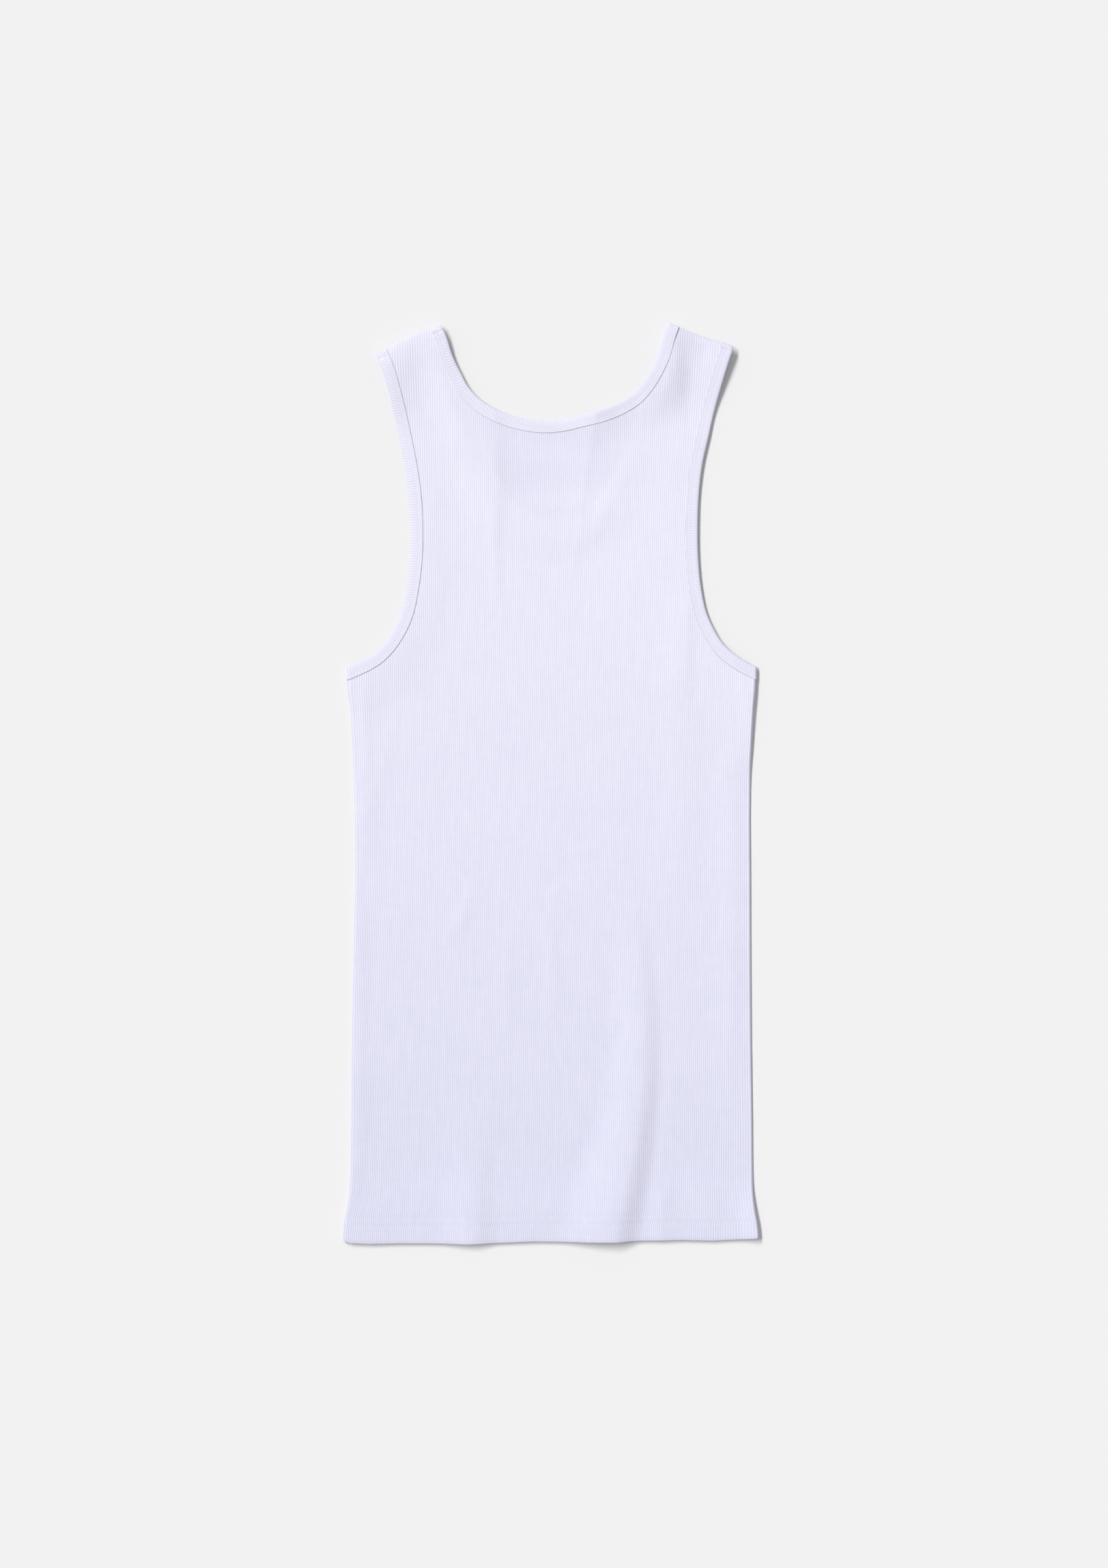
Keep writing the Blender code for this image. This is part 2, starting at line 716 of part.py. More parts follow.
def make_binding(name, back, far_turn, front, near_turn):
    """A strip of rib folded round a raw edge: a U swept along both layers and over both turns."""
    half = BAND_HALF
    slot = half - BAND_WALL
    section = (  # in from the binding's edge, out from its middle
        (BAND_WIDTH, half),
        (1.2, half),
        (0.35, 0.72 * half),
        (0.0, 0.0),
        (0.35, -0.72 * half),
        (1.2, -half),
        (BAND_WIDTH, -half),
        (BAND_WIDTH, -slot),
        (RAW_EDGE - GAP, -slot),
        (RAW_EDGE - GAP, slot),
        (BAND_WIDTH, slot),
    )
    degrees = np.linspace(0, 180, TURN_STEPS + 1)[1:-1]
    frames = [back.frame(i) for i in back.stations()]
    frames += [far_turn.frame(angle) for angle in degrees]
    frames += [front.frame(i) for i in front.stations()]
    frames += [near_turn.frame(angle) for angle in degrees[::-1]]
    mesh = bmesh.new()
    rings = []
    for point, across, normal in frames:
        ring = [point + inward * across + outward * normal for inward, outward in section]
        rings.append([mesh.verts.new(Vector(corner) * MM) for corner in ring])
    for i, ring in enumerate(rings):
        after = rings[(i + 1) % len(rings)]
        for j in range(len(section)):
            k = (j + 1) % len(section)
            mesh.faces.new((ring[j], ring[k], after[k], after[j]))
    return finished(name, mesh, BINDING_COLOUR)


def make_back():
    panel = Panel(+1, back_outside, back_inside)
    panel.add_hem()
    stations, in_field = side_stations("right", panel)
    panel.add_curled(stations[::-1], in_field[::-1], (False, True))
    panel.add_bound(ARMHOLES["right"][0], reverse=True)
    panel.add_curled(*shoulder_stations("right", neck_first=False), (True, True))
    panel.add_bound(NECK[0], reverse=True)
    panel.add_curled(*shoulder_stations("left", neck_first=True), (True, True))
    panel.add_bound(ARMHOLES["left"][0], reverse=False)
    panel.add_curled(*side_stations("left", panel), (True, False))
    panel.add_hem_step()
    add_ribs(panel)
    return panel.build("back", CLOTH_COLOUR)


def make_front():
    panel = Panel(-1, front_outside, front_inside)
    panel.add_hem()
    stations, in_field = side_stations("right", panel)
    panel.add_curled(stations[::-1], in_field[::-1], (False, True))
    panel.add_bound(ARMHOLES["right"][2], reverse=False)
    panel.add_curled(*shoulder_stations("right", neck_first=False), (True, True))
    panel.add_bound(NECK[2], reverse=False)
    panel.add_curled(*shoulder_stations("left", neck_first=True), (True, True))
    panel.add_bound(ARMHOLES["left"][2], reverse=True)
    panel.add_curled(*side_stations("left", panel), (True, False))
    panel.add_hem_step()
    add_flat(panel)
    return panel.build("front", CLOTH_COLOUR)


for item in list(bpy.data.objects):
    bpy.data.objects.remove(item, do_unlink=True)
make_front()
make_back()
make_binding("neck_binding", *NECK)
for side, parts in ARMHOLES.items():
    make_binding(f"armhole_binding_{side}", *parts)
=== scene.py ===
"""A white ribbed cotton tank top, laid flat on its front with its back up.

Made in the order in which the garment is sewn: the two rib knit panels with their cut edges, the
three bindings, the rows of stitches, and then the floor, the light and the camera. Sizes are in
millimetres, and become metres where a mesh is made.
"""

import math

import bpy
import numpy as np
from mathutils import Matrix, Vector


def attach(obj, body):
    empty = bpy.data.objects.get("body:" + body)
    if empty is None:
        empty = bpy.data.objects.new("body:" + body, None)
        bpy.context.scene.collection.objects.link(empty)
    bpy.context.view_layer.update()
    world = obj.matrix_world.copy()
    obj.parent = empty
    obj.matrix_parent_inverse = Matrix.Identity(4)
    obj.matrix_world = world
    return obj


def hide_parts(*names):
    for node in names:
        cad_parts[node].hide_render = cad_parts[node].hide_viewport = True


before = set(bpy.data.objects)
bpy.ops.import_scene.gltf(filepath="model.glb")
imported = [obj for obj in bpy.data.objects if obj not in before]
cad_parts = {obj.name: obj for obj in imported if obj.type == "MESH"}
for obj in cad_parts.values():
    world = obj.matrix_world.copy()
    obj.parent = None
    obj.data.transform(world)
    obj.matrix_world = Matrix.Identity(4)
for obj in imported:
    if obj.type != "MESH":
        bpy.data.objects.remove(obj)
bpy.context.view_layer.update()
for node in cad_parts.values():
    node.select_set(False)

# The back and front panels: one by one rib knit in soft white cotton, ribs lengthwise, the
# straps cut in one with the body. They lie on each other and meet in folds at the sides and the
# shoulders. The hem is turned up once, and soft folds and creases are left in the cloth.

# Their neck and armholes first: raw edges that the bindings will cover. Each edge keeps the
# height at which its binding will lie, low where it rests and lifted where the straps turn over.

MM = 0.001
SIGN = {"left": -1.0, "right": 1.0}
BAND_HALF = 0.98  # half the thickness of the folded binding
BAND_WIDTH = 9.5
BAND_GAP = 0.05  # between the front's bindings and the back's
LOW = {-1: BAND_HALF, +1: 3 * BAND_HALF + BAND_GAP}  # middle of the front's and the back's bindings
TURN_MIDDLE = (LOW[-1] + LOW[+1]) / 2
TURN_RADIUS = (LOW[+1] - LOW[-1]) / 2
SHOULDER_RADIUS = 1.5  # of the fold at the top of a strap
SHOULDER_LEAD = 6.0  # an edge comes straight to that fold over this length
LIFT_FROM = 4.0  # along an edge, where a fold's lift starts to die away
UNDERARM_REACH = 78.0  # and where it has died away, from an underarm
UNDERARM_LIFT = {"left": 0.0, "right": 0.9}
UNDERARM_SLANT = 1 / math.cos(math.radians(26.0))  # the edge runs aslant over the fold there
EDGE_STEP = 0.475
CURVE_FINENESS = 4  # points to a millimetre, while a curve is worked out
NECK_DESCENT = ((40.0, 92.0), (60.0, 130.0))  # down the back's neck, from its left and its right end

SHOULDERS = {  # top of each strap, outer and inner end: x, y, its lift, and how far that reaches
    "left": ((-137.4, 337.4, 2.3, 56.0), (-86.0, 360.2, 2.0, 42.0)),
    "right": ((143.4, 342.6, 3.6, 61.0), (91.3, 360.8, 6.4, 82.0)),
}
UNDERARMS = {"left": (-160.2, 92.2), "right": (161.2, 92.6)}  # tip of each, on the side fold: x, y
BACK_NECK = (  # x, y
    (-76.4, 334.1), (-70.1, 321.3), (-65.2, 312), (-55.5, 301.5), (-46.5, 295.6), (-36.5, 291),
    (-21, 286.5), (-5, 284.6), (10.2, 286), (24.1, 289.2), (40.1, 293.2), (55.6, 299.9),
    (63.5, 305), (70.8, 312.7), (76.5, 321.3), (82.9, 334.1),
)
FRONT_NECK = (  # x, y
    (-78, 334), (-71, 309), (-61, 288), (-52, 265), (-45, 242), (-36, 225.5), (-20, 211.5),
    (1.5, 205), (20, 208), (36, 219), (50, 240), (59, 266), (67, 288), (77, 309), (84, 334),
)
BACK_ARMHOLES = {  # x, y, from the shoulder to the underarm
    "left": (
        (-127.3, 308.4), (-123, 291.3), (-118.8, 272), (-114.5, 250.6), (-111.3, 229.2),
        (-109.7, 203), (-110.2, 175.7), (-112.9, 154.3), (-117.7, 132.9), (-122.5, 122.2),
        (-129.5, 111.5), (-137, 103.5), (-146, 97.7),
    ),
    "right": (
        (132.5, 308.4), (127.8, 291.3), (123.5, 272), (118.7, 250.6), (116.1, 229.2), (115, 203),
        (115.5, 175.7), (117.6, 154.3), (122.4, 132.9), (127.2, 122.2), (133.6, 111.5),
        (141.5, 103.5), (148.5, 98.4),
    ),
}
FRONT_ARMHOLE_INSET = (  # in from the back's armhole, y
    (0.8, 308.4), (2.4, 291.3), (3.8, 272), (4.8, 250.6), (5.3, 229.2), (5.6, 203), (5.4, 175.7),
    (5, 152), (4.5, 129),
)
FRONT_UNDERARM = ((36.0, 106.0), (25.0, 93.5), (14.0, 88.0))  # in from the side fold, y


def ease(value, start, end):
    """0 up to start, 1 past end, and level at both."""
    t = np.clip((value - start) / (end - start), 0.0, 1.0)
    return t * t * (3 - 2 * t)


def lengths_along(path):
    """How far along a path each of its points lies."""
    return np.concatenate(([0.0], np.cumsum(np.linalg.norm(np.diff(path, axis=0), axis=1))))


def smooth_curve(points, step):
    """Points a step apart on a smooth curve through the given ones."""
    points = np.array(points, float)
    at = lengths_along(points)
    slope = np.gradient(points, at, axis=0)
    fine = np.linspace(0.0, at[-1], int(at[-1] * CURVE_FINENESS))
    piece = np.clip(np.searchsorted(at, fine, "right") - 1, 0, len(at) - 2)
    span = (at[piece + 1] - at[piece])[:, None]
    t = (fine - at[piece])[:, None] / span
    curve = (
        (2 * t**3 - 3 * t**2 + 1) * points[piece]
        + (t**3 - 2 * t**2 + t) * span * slope[piece]
        + (3 * t**2 - 2 * t**3) * points[piece + 1]
        + (t**3 - t**2) * span * slope[piece + 1]
    )
    length = lengths_along(curve)
    wanted = np.linspace(0.0, length[-1], int(round(length[-1] / step)) + 1)
    return np.column_stack([np.interp(wanted, length, curve[:, i]) for i in range(points.shape[1])])


class Turn:
    """A fold that an edge runs over: along leads in to the cloth, and out is the way it bulges."""

    def __init__(self, corner, along, out, radius, middle, reach):
        self.along = np.array(along)
        self.out = np.array(out)
        self.radius = radius
        self.middle = middle
        self.reach = reach
        self.centre = np.array(corner) - self.out * (radius + BAND_HALF)
        self.on_shoulder = abs(self.out[1]) > abs(self.out[0])

    def lead(self):
        """The first points of an edge that starts here, square to a shoulder's fold."""
        if self.on_shoulder:
            return [self.centre, self.centre - SHOULDER_LEAD * self.out]
        return [self.centre]


class Edge:
    """A raw edge between two turns, on the back (+1) or the front (-1): its points, their ways
    across into the cloth, and the heights of its binding's middle."""

    def __init__(self, side, start, points, end, cloth_left, low=None):
        self.side = side
        self.xy = smooth_curve([*start.lead(), *points, *end.lead()[::-1]], EDGE_STEP)
        tangent = np.gradient(self.xy, axis=0)
        tangent /= np.linalg.norm(tangent, axis=1)[:, None]
        turned = np.column_stack((-tangent[:, 1], tangent[:, 0]))
        self.across = turned if cloth_left else -turned
        far = np.arange(len(self.xy)) * EDGE_STEP
        ends = ((start, far), (end, far[::-1]))
        for turn, distance in ends:
            share = (1 - ease(distance, 0.0, 2 * SHOULDER_LEAD))[:, None]
            self.across = (1 - share) * self.across + share * turn.along
        self.z = np.full(len(far), LOW[side])
        if low is not None:
            left, right = NECK_DESCENT
            self.z += (low - self.z) * ease(far, *left) * ease(far[::-1], *right)
        for turn, distance in ends:
            high = turn.middle + side * turn.radius
            self.z += (high - self.z) * (1 - ease(distance, LIFT_FROM, turn.reach))

    def nearest(self, x, y):
        """How far in from the edge each point of a grid lies, and the edge's height there."""
        inside = np.empty(x.shape)
        height = np.empty(x.shape)
        coarse = slice(None, None, 2)  # every second point is close enough
        edge = self.xy[coarse]
        for row in range(len(x)):
            off_x = x[row][:, None] - edge[:, 0]
            off_y = y[row][:, None] - edge[:, 1]
            near = (off_x**2 + off_y**2).argmin(1)
            each = np.arange(len(near))
            off = np.column_stack((off_x[each, near], off_y[each, near]))
            side = (off * self.across[coarse][near]).sum(1)
            inside[row] = np.copysign(np.linalg.norm(off, axis=1), side)
            height[row] = self.z[coarse][near]
        return inside, height


def shoulder_turns(side):
    """The turns of the neck's and the armhole's edge, on one shoulder."""
    outer, inner = (np.array(end) for end in SHOULDERS[side])
    along = (inner - outer)[:2] / np.linalg.norm((inner - outer)[:2])
    out = np.array((-along[1], along[0]))
    out *= np.sign(out[1])
    return [
        Turn(end[:2], way, out, SHOULDER_RADIUS, SHOULDER_RADIUS + BAND_HALF + end[2], end[3])
        for end, way in ((inner, -along), (outer, along))
    ]


def armhole_edges(side):
    """The armhole's edges and turns, from the shoulder down the back and home up the front."""
    sign = SIGN[side]
    top = TURNS[side][1]
    fold_x, fold_y = UNDERARMS[side]
    middle = TURN_MIDDLE + UNDERARM_LIFT[side]
    bottom = Turn(
        (fold_x, fold_y), (0.0, -UNDERARM_SLANT), (sign, 0.0), TURN_RADIUS, middle, UNDERARM_REACH
    )
    table = np.array(BACK_ARMHOLES[side])
    back = Edge(+1, top, table, bottom, cloth_left=sign < 0)
    inset = [
        (np.interp(y, table[::-1, 1], table[::-1, 0]) - sign * inward, y)
        for inward, y in FRONT_ARMHOLE_INSET
    ]
    inset += [(fold_x - sign * inward, y) for inward, y in FRONT_UNDERARM]
    front = Edge(-1, bottom, inset[::-1], top, cloth_left=sign > 0)
    return back, bottom, front, top


TURNS = {side: shoulder_turns(side) for side in SIGN}
NECK = (
    Edge(+1, TURNS["left"][0], BACK_NECK, TURNS["right"][0], cloth_left=False, low=BAND_HALF),
    TURNS["right"][0],
    Edge(-1, TURNS["right"][0], FRONT_NECK[::-1], TURNS["left"][0], cloth_left=True),
    TURNS["left"][0],
)
ARMHOLES = {side: armhole_edges(side) for side in SIGN}
BACK_EDGES = [ARMHOLES["right"][0], ARMHOLES["left"][0], NECK[0]]
FRONT_EDGES = [ARMHOLES["right"][2], ARMHOLES["left"][2], NECK[2]]

# The knit of the panels.

CLOTH = 1.0  # its thickness, from the crests of its ribs to its plain inside
RIB_PITCH = 1.49
RIB_COUNT = 205
RIB_RELIEF = 0.29  # depth of the grooves between the ribs
GROOVE_POWER = 1.7  # over 1, the grooves are narrower than the ribs
RIB_SPAN = RIB_COUNT * RIB_PITCH / 2
RIB_MIDDLE = 1.0  # x of the middle of the body
RIB_LEAN = 0.02  # the knit is a little askew: ribs lean by this much of their length
RIB_SPREAD = 0.15  # how much more they lean out at the sides of the straps,
RIB_SPREAD_FROM = 150.0  # from this y up
SIDE_CLEAR = 2.0  # the last rib lies this far in from the side fold
SIDE_PULL = 8  # a power: the ribs near the sides bend to follow them

# The hem, up from its bottom edge.

HEM_DEPTH = 20.6
HEM_WALL = 1.7  # thickness of the cloth with the turned-up layer,
HEM_STEP = 1.0  # which ends within this, above and below the hem's depth
HEM_RISE = 1.4  # how much higher the back lies over both hems,
HEM_LEAD = 6.0  # from this far below the hem's depth
HEM_FADE = 44.0  # to this far above it
HEM_ROWS = (14.3, 20.5)  # the two rows of stitches
HEM_PRESS = 0.1  # how far they pull the cloth in
PRESS_HALF = 0.7
HEM_JOG = 0.5  # how far they pull the ribs aside
JOG_HALF = 1.4
HEM_FOLLOW = 60.0  # knitted rows follow the wavy bottom edge, and are level from here up

# How the panels lie.

SIDE_CURL = 1.7  # how far in a side's fold is round
SIDE_LEAST = 0.3  # the least height of that fold, from its middle
SIDE_HEAVE = 0.9  # how much of a crease's rise it takes
SIDE_TOP = 22.0  # below the underarm, where it leaves the height of the binding
BACK_REST = 1.06  # the back's inside, over the front
BODY_MIDDLE = 1.03  # between the two panels
SETTLE = 0.1  # how softly the back comes to rest on the floor
# In from the right armhole, the left one and the neck, the back comes down to rest from the
# height of the binding over these, and the front over the last.
BACK_HELD = ((9.5, 100.0), (8.0, 46.0), (12.5, 36.0))
FRONT_HELD = (BAND_WIDTH, 30.0)
NECK_RISE = 1.1  # the back rises over the front's neck binding,
NECK_RISE_OUT = (8.0, 36.0)  # and comes down over the front's cloth
NECK_RISE_IN = (-2.0, 32.0)  # and inside the front's neck,
NECK_SINK = 0.3  # where no front lies under it, so that it sinks
NECK_SINK_IN = (0.0, 32.0)
SHOULDER_CARRY = (-1.0, 30.0)  # down from a strap's fold, where it stops carrying the cloth
SHOULDER_SHARE = (0.4, 1.0)  # across a strap, where the height of its outer end turns to the inner
SHOULDER_BOW = {"left": 1.8, "right": -0.6}  # how far the fold bows out between the bindings
CREASE_START = (-0.12, 0.25)  # shares of its length over which a crease rises,
CREASE_END = (0.75, 1.12)  # and dies away
SHOULDER_STILL = 6  # a power: creases run close up to the shoulders' folds
UNDERARM_STILL = (6.0, 22.0)  # and keep off the tips of the underarms
FOLD_SHADE = 1.0  # painted shade: how much deeper in colour the cloth is drawn where it turns sideways at a fold, and painted shade for the dip where no second layer lies behind it, from the front's raw neck into its opening
LONE_SHADE = 0.28  # and where no second layer lies behind it,
LONE_EDGE = (-1.0, 7.0)  # from the front's raw neck into its opening

# The rows and columns of the mesh.

RIB_STEPS = 4  # columns to a rib
HEM_LEVELS = (0.9, 4.0, 7.5, 11.0, 17.4, 24.5)  # up from the bottom edge, between the stitches
STITCH_LEVEL = 0.9  # and this far to each side of a row of stitches
BODY_LEVELS = (7.5, 84.0, 52)  # from this far above those up to this y, and how many
CHEST_FROM = 90.0
CHEST_TO = 250.0  # rows are level up to here, and slant to the shoulders' folds above
CHEST_ROWS = 28
STRAP_ROWS = 15
STRAP_TOP = 340.0  # a first guess of where they end,
STRAP_TRIES = 6  # and how often it is improved
CURL_STEPS = 4  # rows or columns round a fold
HEM_CURL = 0.6  # cloth between two of those rows at the bottom edge
RAW_EDGE = 1.9  # the cloth ends this far in from the edge of its binding
MEASURED_COLUMN = 400  # along this one the knitted rows are counted

# Their outline and the folds left in them.

SIDES = (  # y, left x, right x
    (72, -158.4, 159.6), (58, -156.8, 158.9), (15, -154.6, 156.4), (-28, -153.5, 156),
    (-70, -153, 156.3), (-135, -154.6, 156.5), (-199, -155.7, 156.9), (-263, -156.2, 157.8),
    (-306, -156.8, 158.1), (-322, -157.8, 158.5), (-333, -159.6, 160), (-343, -161.9, 162),
    (-352, -162.4, 163),
)
HEM_LINE = -358.5  # y of the bottom edge, but for its waves
HEM = (  # x, y
    (-162.4, -356.3), (-160.5, -358.3), (-157, -359.4), (-141, -360.1), (-119, -359.6),
    (-87, -359.8), (-65, -360.3), (-44, -359.4), (-12, -358.2), (31, -358.7), (52, -358.5),
    (63, -357.7), (103, -357), (127, -357.5), (151, -356.3), (160.5, -355.8), (163.2, -354.8),
)
FOLD_STEP = 4.0
FOLDS = {  # long soft folds of the back: crest x, y, height, reach to the left and to the right
    "long_fold": (
        (62.5, -90, 0, 24, 14),
        (68, -145, 1.3, 25, 16),
        (71.5, -213, 2.6, 30, 18),
        (67, -265, 3.8, 38, 19),
        (61, -300, 4.4, 44, 21),
        (53.5, -332, 4.9, 46, 22),
        (49, -362, 5, 48, 22),
    ),
    "hem_lift": (
        (-60, -240, 0, 26, 26),
        (-61, -300, 0.9, 28, 20),
        (-61, -362, 2.6, 30, 22),
    ),
}
CREASES = (  # ridges (troughs, below 0): from x, y down to x, y, height, width on left and right
    # on the straps
    (-139, 372, -119, 284, 1.2, 20, 15),
    (106, 378, 112, 280, -1.5, 13, 28),
    (101, 370, 107, 322, -0.6, 10, 28),
    (97, 332, 99, 225, 0.6, 30, 26),
    (97, 300, 97, 215, -0.7, 44, 26),
    # round the neck and under it
    (-46, 335, -45, 178, 1.1, 34, 13),
    (-46, 222, -42, 145, 0.4, 8, 7),
    (8, 276, 5, 222, -1.3, 38, 50),
    (-84, 340, -56, 248, 0.8, 22, 9),
    (-91, 334, -63, 256, 0.8, 24, 8),
    (-44, 297, 10, 282, 0.6, 17, 8),
    (36, 316, 24, 236, 1.5, 45, 24),
    (86, 327, 8, 280, 0.8, 8, 15),
    (60, 311, 30, 293, 1.7, 8, 30),
    (37, 304, 22, 215, 0.45, 14, 6),
    (66, 258, 29, 192, 0.35, 8, 10),
    (24, 203, 14, 160, 0.25, 8, 8),
    # down from the armholes, and at the sides
    (106, 150, 105, 72, 0.8, 20, 8),
    (62, 170, 63, 130, 0.25, 8, 8),
    (102, 90, 100, -90, 0.5, 20, 20),
    (141, 80, 142, -240, 0.6, 14, 12),
    (-146, 84, -145, -60, 0.55, 9, 9),
    (-126, 44, -142, -34, 0.35, 12, 8),
    (-150, -70, -151, -320, 0.5, 9, 10),
    (-150, -284, -162, -340, 0.5, 8, 9),
    # in the middle of the back
    (-59, -80, -80, -120, 0.5, 7, 12),
    (22, -60, -10, -86, -0.35, 8, 8),
    (1, -92, 1, -192, 0.4, 9, 9),
    (-34, -118, -35, -186, 0.35, 10, 10),
    (34, -112, 33, -170, 0.2, 9, 9),
    # near the hem
    (-62, -246, 22, -292, 0.5, 14, 16),
    (-110, -316, -66, -328, 0.4, 7, 7),
    (98, -205, 92, -300, 0.4, 16, 24),
    (86, -312, 86, -372, 0.7, 9, 12),
    (116, -300, 126, -356, 0.35, 14, 16),
    (-150, -190, -152, -372, 0.7, 30, 36),
    # under the right armhole, and at the hem's right corner
    (158, 104, 157, 6, 1.5, 16, 12),
    (166, -384, 159, -318, 2.2, 20, 14),
)


def side_x(side, y):
    """x of a side's fold at a height y."""
    table = np.array(SIDES)[::-1]
    return np.interp(y, table[:, 0], table[:, 1 if side == "left" else 2])


def hem_height(x):
    """y of the bottom edge at x."""
    table = np.array(HEM)
    return np.interp(x, table[:, 0], table[:, 1])


def rib_x(place, y):
    """x at a height y of the rib line that crosses the body's middle at a place."""
    share = place / RIB_SPAN
    low_y = np.minimum(y, SIDES[0][0])
    edge = np.where(
        place < 0, side_x("left", low_y) + SIDE_CLEAR, side_x("right", low_y) - SIDE_CLEAR
    )
    pull = edge - (RIB_MIDDLE + np.sign(place) * RIB_SPAN + RIB_LEAN * low_y)
    spread = RIB_SPREAD * share**3 * np.maximum(0.0, y - RIB_SPREAD_FROM)
    return RIB_MIDDLE + place + RIB_LEAN * y + spread + pull * np.abs(share) ** SIDE_PULL


def fold_rise(x, y):
    """Rise of the back's long folds."""
    total = np.zeros(x.shape)
    for crest in FOLDS.values():
        table = np.array(crest)[::-1]
        smooth = smooth_curve(table, FOLD_STEP)
        crest_x, height, left, right = (
            np.interp(y, smooth[:, 1], smooth[:, i]) for i in (0, 2, 3, 4)
        )
        off = np.abs(x - crest_x) / np.where(x < crest_x, left, right)
        within = (y <= table[-1, 1]) & (off < 1)
        total += np.where(within, height * 0.5 * (1 + np.cos(math.pi * np.minimum(off, 1))), 0.0)
    return total


def shoulder_height(x, y):
    """How much the folded top of the strap carries the cloth, and the fold's own middle there."""
    carried = np.zeros(x.shape)
    middle = np.zeros(x.shape)
    for side, here in (("left", x < 0), ("right", x >= 0)):
        neck, arm = TURNS[side]
        below = (neck.centre[0] - x) * neck.out[0] + (neck.centre[1] - y) * neck.out[1]
        width = neck.centre[0] - arm.centre[0]
        share = ease((x - arm.centre[0]) / width, *SHOULDER_SHARE)
        carried[here] = (1 - ease(below, *SHOULDER_CARRY))[here]
        middle[here] = (arm.middle + share * (neck.middle - arm.middle))[here]
    return carried, middle


def crease_rise(x, y):
    """Rise of the small creases, each steeper on one side than on the other. They run on across
    the bindings, and die away at the shoulders' folds and under the arms."""
    total = np.zeros(x.shape)
    for x0, y0, x1, y1, height, left, right in CREASES:
        length = math.hypot(x1 - x0, y1 - y0)
        t = ((x - x0) * (x1 - x0) + (y - y0) * (y1 - y0)) / length**2
        off = ((y - y0) * (x1 - x0) - (x - x0) * (y1 - y0)) / length
        fade = ease(t, *CREASE_START) * (1 - ease(t, *CREASE_END))
        total += height * fade * np.exp(-2 * (off / np.where(off < 0, left, right)) ** 2)
    carried, _ = shoulder_height(x, y)
    total *= 1 - carried**SHOULDER_STILL
    for tip_x, tip_y in UNDERARMS.values():
        total *= ease(np.hypot(x - tip_x, y - tip_y), *UNDERARM_STILL)
    return total


def back_face(x, y):
    """Height of the crests of the back's ribs."""
    height = BACK_REST + CLOTH + fold_rise(x, y)
    above = y - hem_height(x)
    height += HEM_RISE * (1 - ease(above, HEM_DEPTH - HEM_LEAD, HEM_DEPTH + HEM_FADE))
    neck, _ = NECK[2].nearest(x, y)
    over_band = (1 - ease(neck, *NECK_RISE_OUT)) * (1 - ease(-neck, *NECK_RISE_IN))
    height += NECK_RISE * over_band - NECK_SINK * ease(-neck, *NECK_SINK_IN)
    for edge, span in zip(BACK_EDGES, BACK_HELD):
        inside, middle = edge.nearest(x, y)
        height += (middle + CLOTH / 2 - height) * (1 - ease(inside, *span))
    carried, middle = shoulder_height(x, y)
    height += (middle + SHOULDER_RADIUS + CLOTH / 2 - height) * carried
    off_floor = height + crease_rise(x, y) - CLOTH
    return CLOTH + (off_floor + np.sqrt(off_floor**2 + SETTLE)) / 2


def front_face(x, y):
    """Height of the crests of the front's ribs, which rest on the surface."""
    height = np.zeros(x.shape)
    for edge in FRONT_EDGES:
        inside, middle = edge.nearest(x, y)
        held = 1 - ease(inside, *FRONT_HELD)
        height += (middle - CLOTH / 2 - height) * held
    carried, middle = shoulder_height(x, y)
    return height + (middle - SHOULDER_RADIUS - CLOTH / 2 - height) * carried


def panel_rows():
    """Heights of the mesh's rows: close at the hem's stitches, wider up the body."""
    above = list(HEM_LEVELS)
    for row in HEM_ROWS:
        above += [row - STITCH_LEVEL, row, row + STITCH_LEVEL]
    hem = sorted(HEM_LINE + rise for rise in above)
    step, body_to, body_rows = BODY_LEVELS
    body = np.linspace(hem[-1] + step, body_to, body_rows)
    chest = np.linspace(CHEST_FROM, CHEST_TO, CHEST_ROWS)
    return np.concatenate((hem, body, chest))


def rib_profile(place):
    """0 on a rib's crest and 1 in the groove beside it: round ribs and narrow grooves."""
    phase = np.abs((place / RIB_PITCH) % 1.0 - 0.5) * 2
    return phase**GROOVE_POWER


def panel_grid(side, face):
    """Points and outward ways of a panel's outer face, row by row, and each point's knit place."""
    ribs = np.linspace(-RIB_SPAN, RIB_SPAN, RIB_COUNT * RIB_STEPS + 1)
    place, level = np.meshgrid(ribs, panel_rows())
    jog = sum(
        way * np.exp(-(((level - HEM_LINE - row) / JOG_HALF) ** 2))
        for row, way in zip(HEM_ROWS, (1, -1))
    )
    x = rib_x(place, level) + HEM_JOG * jog
    y = level + (hem_height(x) - HEM_LINE) * (1 - ease(level, HEM_LINE, HEM_LINE + HEM_FOLLOW))
    top_x, top_y, out = shoulder_line(ribs)
    for share in np.linspace(0, 1, STRAP_ROWS + 1)[1:]:
        row_y = CHEST_TO + share * (top_y - CHEST_TO)
        x = np.vstack((x, rib_x(ribs, row_y)))
        y = np.vstack((y, row_y))
    z = face(x, y)
    point = np.dstack((x, y, z))
    normal = np.zeros(point.shape)
    normal[..., 2] = side
    point, normal, ribs = with_side_curls(side, point, normal, ribs)
    return with_shoulder_curl(side, point, normal, ribs, top_x, top_y, out)


